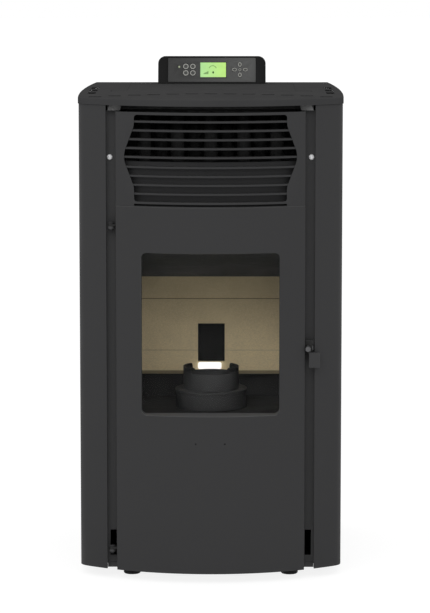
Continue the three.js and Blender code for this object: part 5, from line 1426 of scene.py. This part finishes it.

# %% [markdown]
# ## Finishes
#
# A finish is a Principled shader that starts from one colour. The texture of the finish sets a
# tone that multiplies the colour and a height that feeds Bump. Clouds, soot, the lighter edge tone
# (painted highlight with some rubbing) and dust are then mixed in by their masks, and roughness
# follows them, since soot and dust are duller than paint. One function writes the common part, so a
# finish is only a line of settings.


# %% Finish builder
DUST = (0.32, 0.30, 0.27, 1.0)
SOOT_LEVEL = 0.012


def use(tree, key, **inputs):
    item = add(tree, "Group", node_tree=EFFECTS[key])
    for label, value in inputs.items():
        item.inputs[label].default_value = value
    return item.outputs


def grey(level):
    return (level, level, level, 1.0)


def new_material(name):
    made = bpy.data.materials.new(name)
    made.use_nodes = True
    print("finish", name)
    return made, made.node_tree, made.node_tree.nodes["Principled BSDF"].inputs


def shaded(tree, colour, factor):
    """A colour multiplied by one value."""
    shade = add(tree, "CombineColor", {0: factor, 1: factor, 2: factor}).outputs[0]
    return mix(tree, 1.0, colour, shade, "MULTIPLY")


def add_relief(tree, shader, height, strength, distance):
    relief = {"Height": height, "Strength": strength, "Distance": distance}
    tree.links.new(add(tree, "Bump", relief).outputs[0], shader["Normal"])


def finish(
    name, colour, rough, metal=0.0, shine=0.2, texture="grain", bump=0.12, deep=0.15 * MM,
    cloud=0.04, sheen_and_wear=0.0, sheen_and_wear_grey=0.2, dusty=0.0, sooty=0.0, wobble=0.05,
):
    made, tree, shader = new_material(name)
    surface = use(tree, texture)
    broad = use(tree, "clouds", Depth=cloud, Scale=6.0)["Tone"]
    tone = times(tree, surface["Tone"], broad) if texture != "knit" else broad
    base = shaded(tree, (*colour, 1.0), tone)
    roughness = ramp(tree, broad, 1 - cloud, 1 + cloud, rough - wobble, rough + wobble)
    if sooty:
        mask = use(tree, "soot", Amount=sooty)["Mask"]
        base = mix(tree, mask, base, grey(SOOT_LEVEL))
        roughness = calc(tree, "ADD", roughness, times(tree, mask, 0.2), clamp=True)
    # Edges get a lighter grey: a painted highlight along rounded edges, with rubbing where the coat
    # is thin.
    if sheen_and_wear:
        mask = times(tree, use(tree, "edges")["Mask"], sheen_and_wear)
        base = mix(tree, mask, base, grey(sheen_and_wear_grey))
    if dusty:
        mask = use(tree, "dust", Amount=dusty)["Mask"]
        base = mix(tree, mask, base, DUST)
        roughness = calc(tree, "ADD", roughness, times(tree, mask, 0.3), clamp=True)
    tree.links.new(base, shader["Base Color"])
    tree.links.new(roughness, shader["Roughness"])
    shader["Metallic"].default_value = metal
    shader["Specular IOR Level"].default_value = shine
    add_relief(tree, shader, surface["Height"], bump, deep)
    return made


# %% Finishes of the stove
PLAIN_FINISHES = {
    "casing_paint": dict(
        colour=(0.037, 0.037, 0.038), rough=0.62, shine=0.18, sheen_and_wear=0.25, sheen_and_wear_grey=0.1, dusty=0.03,
    ),
    # A lighter copy of the casing paint for the top and the hopper lid: a painted highlight for the
    # light that falls on them from above.
    "top_paint": dict(
        colour=(0.05, 0.05, 0.051), rough=0.75, shine=0.0, sheen_and_wear=0.2, sheen_and_wear_grey=0.08, dusty=0.03,
    ),
    "post_paint": dict(colour=(0.062, 0.062, 0.063), rough=0.66, shine=0.15, sheen_and_wear=0.2, sheen_and_wear_grey=0.1),
    "sill_paint": dict(colour=(0.1, 0.1, 0.101), rough=0.6, shine=0.2),
    # A darker copy of the casing paint: painted shade for pieces that sit in recesses.
    "recess_paint": dict(colour=(0.032, 0.032, 0.033), rough=0.65, shine=0.15),
    "latch_paint": dict(colour=(0.044, 0.044, 0.045), rough=0.6, shine=0.15, sheen_and_wear=0.2),
    "foot_plastic": dict(colour=(0.03, 0.03, 0.03), rough=0.7, shine=0.15),
    "inner_steel": dict(
        colour=(0.034, 0.034, 0.034), rough=0.75, shine=0.1, texture="rolled", bump=0.05,
        sooty=0.35, sheen_and_wear=0.2, sheen_and_wear_grey=0.1, cloud=0.1,
    ),
    "baffle_steel": dict(
        colour=(0.094, 0.094, 0.092), rough=0.75, shine=0.1, texture="rolled", bump=0.05, sooty=0.2,
        cloud=0.1,
    ),
    "tube_steel": dict(
        colour=(0.034, 0.034, 0.034), rough=0.75, shine=0.1, texture="rolled", bump=0.05,
        sooty=0.35, cloud=0.1,
    ),
    "cast_iron": dict(
        colour=(0.043, 0.043, 0.044), rough=0.7, shine=0.2, bump=0.15, deep=0.3 * MM, sooty=0.15,
        sheen_and_wear=0.4, sheen_and_wear_grey=0.12, cloud=0.08,
    ),
    "zinc": dict(
        colour=(0.85, 0.85, 0.86), rough=0.5, metal=0.2, shine=0.5, texture="rolled", bump=0.03,
        cloud=0.05,
    ),
    "dark_zinc": dict(
        colour=(0.1, 0.1, 0.103), rough=0.4, metal=0.8, shine=0.4, texture="rolled", bump=0.05,
        cloud=0.06,
    ),
    "galvanised": dict(
        colour=(0.3, 0.31, 0.32), rough=0.6, metal=0.7, shine=0.4, texture="crystals", bump=0.06,
        cloud=0.1, dusty=0.15,
    ),
    "rail_sheet": dict(
        colour=(0.12, 0.12, 0.12), rough=0.7, shine=0.15, texture="crystals", bump=0.05, cloud=0.05,
    ),
    "cast_aluminium": dict(
        colour=(0.4, 0.41, 0.42), rough=0.55, metal=0.9, shine=0.5, bump=0.35, deep=0.3 * MM,
        cloud=0.1, dusty=0.12, sheen_and_wear=0.4, sheen_and_wear_grey=0.6,
    ),
    "liner_board": dict(
        colour=(0.96, 0.78, 0.48), rough=0.9, shine=0.05, texture="flakes", bump=0.2, deep=0.3 * MM,
        cloud=0.04, sooty=0.06, wobble=0.03,
    ),
    "ceramic": dict(colour=(0.9, 0.88, 0.84), rough=0.55, shine=0.4, bump=0.1, cloud=0.04),
    "rope_seal": dict(
        colour=(0.05, 0.05, 0.05), rough=0.95, shine=0.1, texture="knit", bump=0.9, deep=0.8 * MM,
        cloud=0.15, wobble=0.03,
    ),
    "black_plastic": dict(
        colour=(0.006, 0.006, 0.006), rough=0.5, shine=0.1, bump=0.08, sheen_and_wear=0.2, sheen_and_wear_grey=0.03,
    ),
    "key_film": dict(colour=(0.06, 0.062, 0.058), rough=0.5, shine=0.3, bump=0.05),
    "key_ring": dict(colour=(0.4, 0.4, 0.37), rough=0.5, shine=0.3, bump=0.05),
    "circuit_board": dict(
        colour=(0.02, 0.11, 0.045), rough=0.4, shine=0.5, bump=0.05, dusty=0.1, cloud=0.1,
    ),
    "lcd_ink": dict(colour=(0.05, 0.13, 0.03), rough=0.5, shine=0.2, bump=0.02),
}
FINISHES = {name: finish(name, **values) for name, values in PLAIN_FINISHES.items()}

# %% [markdown]
# Some finishes need nodes of their own. The rail gets a painted shade in the recess under the top,
# all but its end tabs; the liner boards get a painted shade towards the top, a painted shadow along
# their lowest strip and dark joints; the exchanger tubes and the baffle get a painted shade at their
# upper ends; and the pot's ears are darker above the rim. The film over the console's face is made
# lighter to the right, a painted highlight. The display is lit from behind, so its colour is emission
# and shifts from cool green to yellow-green. The igniter is given a white emission, a painted glow.
# The glass is a clear transmitting sheet, thin and flat, and the lamp is a frosted lens.


# %% Shades that depend on the place
def spot_on(tree, axis):
    return add(tree, "SeparateXYZ", {0: add(tree, "TexCoord").outputs["Object"]}).outputs[axis]


def along(tree, axis, low, high):
    return add(tree, "MapRange", {0: spot_on(tree, axis), 1: low, 2: high}).outputs[0]


def shade_by(made, factor):
    """Multiply the base colour of a finish by one more value."""
    tree = made.node_tree
    base = tree.nodes["Principled BSDF"].inputs["Base Color"]
    tree.links.new(shaded(tree, base.links[0].from_socket, factor), base)


def band(tree, value, low, high, soft):
    """One between two levels of a value and zero outside them."""
    rise = ramp(tree, value, low - soft, low + soft)
    fall = ramp(tree, value, high - soft, high + soft, 1.0, 0.0)
    return times(tree, rise, fall)


def rail_recess_painted_shade():
    """The rail is darkened to a painted shade in the recess under the top, all but the slanted tabs
    at its two ends.
    """
    tree = FINISHES["rail_sheet"].node_tree
    across = calc(tree, "ABSOLUTE", spot_on(tree, 0))
    slanted = calc(tree, "MULTIPLY_ADD", spot_on(tree, 2), 0.4, across)
    tabs = band(tree, slanted, RAIL_TABS[0], RAIL_TABS[1], 0.3 * MM)
    shade_by(FINISHES["rail_sheet"], ramp(tree, tabs, 0.0, 1.0, 0.28, 1.0))


def board_shade_and_joints():
    """Boards are darkened towards the top as painted shade, with a painted shadow along their lowest
    strip, and a dark line runs along each joint.
    """
    tree = FINISHES["liner_board"].node_tree
    height = spot_on(tree, 2)
    shade = ramp(tree, height, 0.42, 0.62, 1.0, 0.5)
    # Painted shadow along the lowest strip of the boards.
    shade = times(tree, shade, ramp(tree, height, 0.395, 0.398, 0.33, 1.0))
    for level, half, depth in BOARD_JOINTS:
        line = band(tree, height, level - half, level + half, 0.5 * MM)
        shade = times(tree, shade, ramp(tree, line, 0.0, 1.0, 1.0, depth))
    shade_by(FINISHES["liner_board"], shade)


def dark_above(key, low, high, left):
    """Darken a finish from one height up to another, down to what is left of it."""
    tree = FINISHES[key].node_tree
    shade_by(FINISHES[key], ramp(tree, spot_on(tree, 2), low, high, 1.0, left))


RAIL_TABS = (0.5799, 0.6046)
BOARD_JOINTS = [(0.554, 1.0 * MM, 0.45), (0.441, 0.7 * MM, 0.75)]
FINISHES["pot_iron"] = FINISHES["cast_iron"].copy()
rail_recess_painted_shade()
board_shade_and_joints()
# The upper ends of the exchanger tubes, under the top, are darkened as painted shade.
dark_above("tube_steel", 0.925, 0.945, 0.1)
# The upper part of the baffle is darkened as painted shade.
dark_above("baffle_steel", 0.6, 0.66, 0.55)
dark_above("pot_iron", pot_high.z - EAR_RISE, pot_high.z - EAR_RISE / 2, 0.3)


# %% Film, display, igniter, lamp and glass
def face_film():
    made = finish("face_film", (0.1, 0.101, 0.099), 0.42, shine=0.2, bump=0.04, cloud=0.05)
    tree = made.node_tree
    # The face is darkened towards the left: painted light that grows to the right.
    shade_by(made, ramp(tree, along(tree, 0, -FACE_HALF, FACE_HALF), 0.0, 1.0, 0.4, 1.0))
    return made


def lit(name, colours, axis, low, high, strength):
    made, tree, shader = new_material(name)
    glow = mix(tree, along(tree, axis, low, high), (*colours[0], 1.0), (*colours[1], 1.0))
    uneven = use(tree, "clouds", Scale=60.0, Depth=0.05)["Tone"]
    tree.links.new(shaded(tree, glow, uneven), shader["Emission Color"])
    shader["Emission Strength"].default_value = strength
    shader["Base Color"].default_value = grey(0.02)
    shader["Roughness"].default_value = 0.3
    add_relief(tree, shader, use(tree, "grain")["Height"], 0.02, 0.1 * MM)
    return made


def stove_glass():
    made, tree, shader = new_material("stove_glass")
    shader["Base Color"].default_value = (0.97, 0.975, 0.97, 1.0)
    shader["Transmission Weight"].default_value = 1.0
    shader["IOR"].default_value = 1.1
    smear = ramp(tree, noise(tree, place(tree), 18, 4, 0.6), 0.4, 0.7, 0.0, 0.02)
    tree.links.new(smear, shader["Roughness"])
    return made


FINISHES["face_film"] = face_film()
FINISHES["lcd"] = lit(
    "lcd", ((0.36, 0.69, 0.24), (0.44, 0.76, 0.14)), 0, LCD_X - LCD_HALF[0], LCD_X + LCD_HALF[0], 1.0
)
# The igniter's white emission is a painted glow.
FINISHES["glowing_ceramic"] = lit(
    "glowing_ceramic", ((1.0, 0.97, 0.9), (1.0, 1.0, 0.98)), 2, 0.397, 0.415, 1.1
)
FINISHES["led_lens"] = lit(
    "led_lens", ((0.3, 0.36, 0.2), (0.4, 0.45, 0.3)), 0, LED_X - LED_RADIUS, LED_X + LED_RADIUS, 0.7
)
FINISHES["stove_glass"] = stove_glass()

# %% [markdown]
# ## Dressing the pieces
#
# Every piece takes the finish of its slot in the parts record, except those in one short list: the
# igniter has a painted glow, the marks on the display are dark ink, and a few pieces take a paint of
# their own, among them darker copies that are painted shade in recesses and under the top.

# %% Assign the finishes
slot_of = {part["node"]: part["material_slot"] for part in frame["record"]["subparts"]}


def dress(piece, key):
    piece.data.materials.clear()
    piece.data.materials.append(FINISHES[key])


SPECIAL = {
    "igniter": "glowing_ceramic",
    "front_post_left": "post_paint",
    "front_post_right": "post_paint",
    "top_rail": "rail_sheet",
    "heat_exchanger": "tube_steel",
    "firebox_baffle": "baffle_steel",
    "base_pan": "post_paint",
    "latch_spindle": "dark_zinc",
    "latch_handle": "latch_paint",
    "lcd_marks": "lcd_ink",
    "pot_cup": "pot_iron",
    # The plate behind the louvres and the hinge pins in their grooves get the darker paint as painted
    # shade.
    "grille_louvre_back": "recess_paint",
    **{foot + "_pad": "foot_plastic" for foot in FEET},
    **{pin + "_turned": "recess_paint" for pin in HINGE_PINS},
}
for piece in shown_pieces():
    stands_for = list(piece.get("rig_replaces", []))
    key = piece.get("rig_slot") or slot_of[stands_for[0] if stands_for else piece.name]
    dress(piece, SPECIAL.get(piece.name, key))
frame["nodes"]["door_glass"].visible_shadow = False

# %% [markdown]
# The door and the keys get a second finish. The sill of the window and the door's upper edge get a
# lighter copy of the paint, a painted highlight where they catch more light than the front, and the
# rim of each key is printed in a lighter tone.

# %% Second finishes
door.data.materials.append(FINISHES["sill_paint"])
door_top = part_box("door_skin")[1].z + DOOR_TOP_RISE
for polygon in door.data.polygons:
    low_part = WINDOW_LOW - 2 * MM < polygon.center.z < WINDOW_LOW + WINDOW_CORNER
    top_part = polygon.center.z > door_top - 1.2 * MM and polygon.normal.y < -0.3
    in_window = low_part and abs(polygon.center.x) < WINDOW_HALF + MM
    if polygon.normal.z > 0.2 and (in_window or top_part):
        polygon.material_index = 1

RING_INNER = 0.58
RING_OUTER = 1.05
to_face = Vector((0, -math.cos(CONSOLE_TILT), math.sin(CONSOLE_TILT)))
for key, cap_piece in caps.items():
    cap_piece.data.materials.append(FINISHES["key_ring"])
    x, z, wide, tall = KEYS[key]
    centre = sum((v.co for v in cap_piece.data.vertices), Vector()) / len(cap_piece.data.vertices)
    for polygon in cap_piece.data.polygons:
        away = polygon.center - centre
        flat = away - to_face * away.dot(to_face)
        in_ring = RING_INNER * min(wide, tall) < flat.length < RING_OUTER * max(wide, tall)
        if in_ring and polygon.normal.dot(to_face) > 0.5:
            polygon.material_index = 1

# %% [markdown]
# ## Studio
#
# A plain pale floor, an even grey sky for light and one large soft lamp above the front. The
# camera, mirrors and glass see white instead of the grey sky, so the background is white without
# any extra light on the stove. The floor is mostly white to the camera too, and keeps a shadow.

# %% Light and floor
SKY_LEVEL = 0.82
LAMP_PLACE = (-0.9, FRONT_Y - 3.2, 3.4)
LAMP_SIZE = (3.2, 2.2)
LAMP_POWER = 34
LAMP_AIM = Vector((0, 0, 0.55))
FLOOR_SIZE = 60
FLOOR_LEVEL = 0.8
FLOOR_GLOW = 1.22
FLOOR_SHARE = 0.7


def seen_directly(tree):
    """One for rays from the camera, off mirrors and through glass."""
    path = add(tree, "LightPath").outputs
    seen = calc(tree, "MAXIMUM", path["Is Camera Ray"], path["Is Glossy Ray"])
    return calc(tree, "MAXIMUM", seen, path["Is Transmission Ray"])


world = bpy.data.worlds.new("studio")
bpy.context.scene.world = world
world.use_nodes = True
sky = world.node_tree
sky.nodes.clear()
lighting = add(sky, "Background", {"Color": grey(SKY_LEVEL), "Strength": 1.0}).outputs[0]
white = add(sky, "Background", {"Color": grey(1.0), "Strength": 1.0}).outputs[0]
blended = add(sky, "MixShader", {0: seen_directly(sky), 1: lighting, 2: white}).outputs[0]
add(sky, "OutputWorld", {"Surface": blended})

bpy.ops.object.light_add(type="AREA", location=LAMP_PLACE)
lamp_light = bpy.context.object
lamp_light.name = "soft_lamp"
lamp_light.data.shape = "RECTANGLE"
lamp_light.data.size, lamp_light.data.size_y = LAMP_SIZE
lamp_light.data.energy = LAMP_POWER
aim = LAMP_AIM - lamp_light.location
lamp_light.rotation_euler = aim.to_track_quat("-Z", "Y").to_euler()

bpy.ops.mesh.primitive_plane_add(size=FLOOR_SIZE, location=(0, 0, 0))
floor = bpy.context.object
floor.name = "floor"
pale = bpy.data.materials.new("pale_floor")
pale.use_nodes = True
ground = pale.node_tree
ground.nodes.clear()
matt = add(ground, "BsdfDiffuse", {"Color": grey(FLOOR_LEVEL)}).outputs[0]
glow = add(ground, "Emission", {"Color": grey(1.0), "Strength": FLOOR_GLOW}).outputs[0]
share = times(ground, seen_directly(ground), FLOOR_SHARE)
floor_mix = add(ground, "MixShader", {0: share, 1: matt, 2: glow}).outputs[0]
add(ground, "OutputMaterial", {"Surface": floor_mix})
floor.data.materials.append(pale)

bpy.context.scene.view_settings.view_transform = "Standard"
print("studio ready")
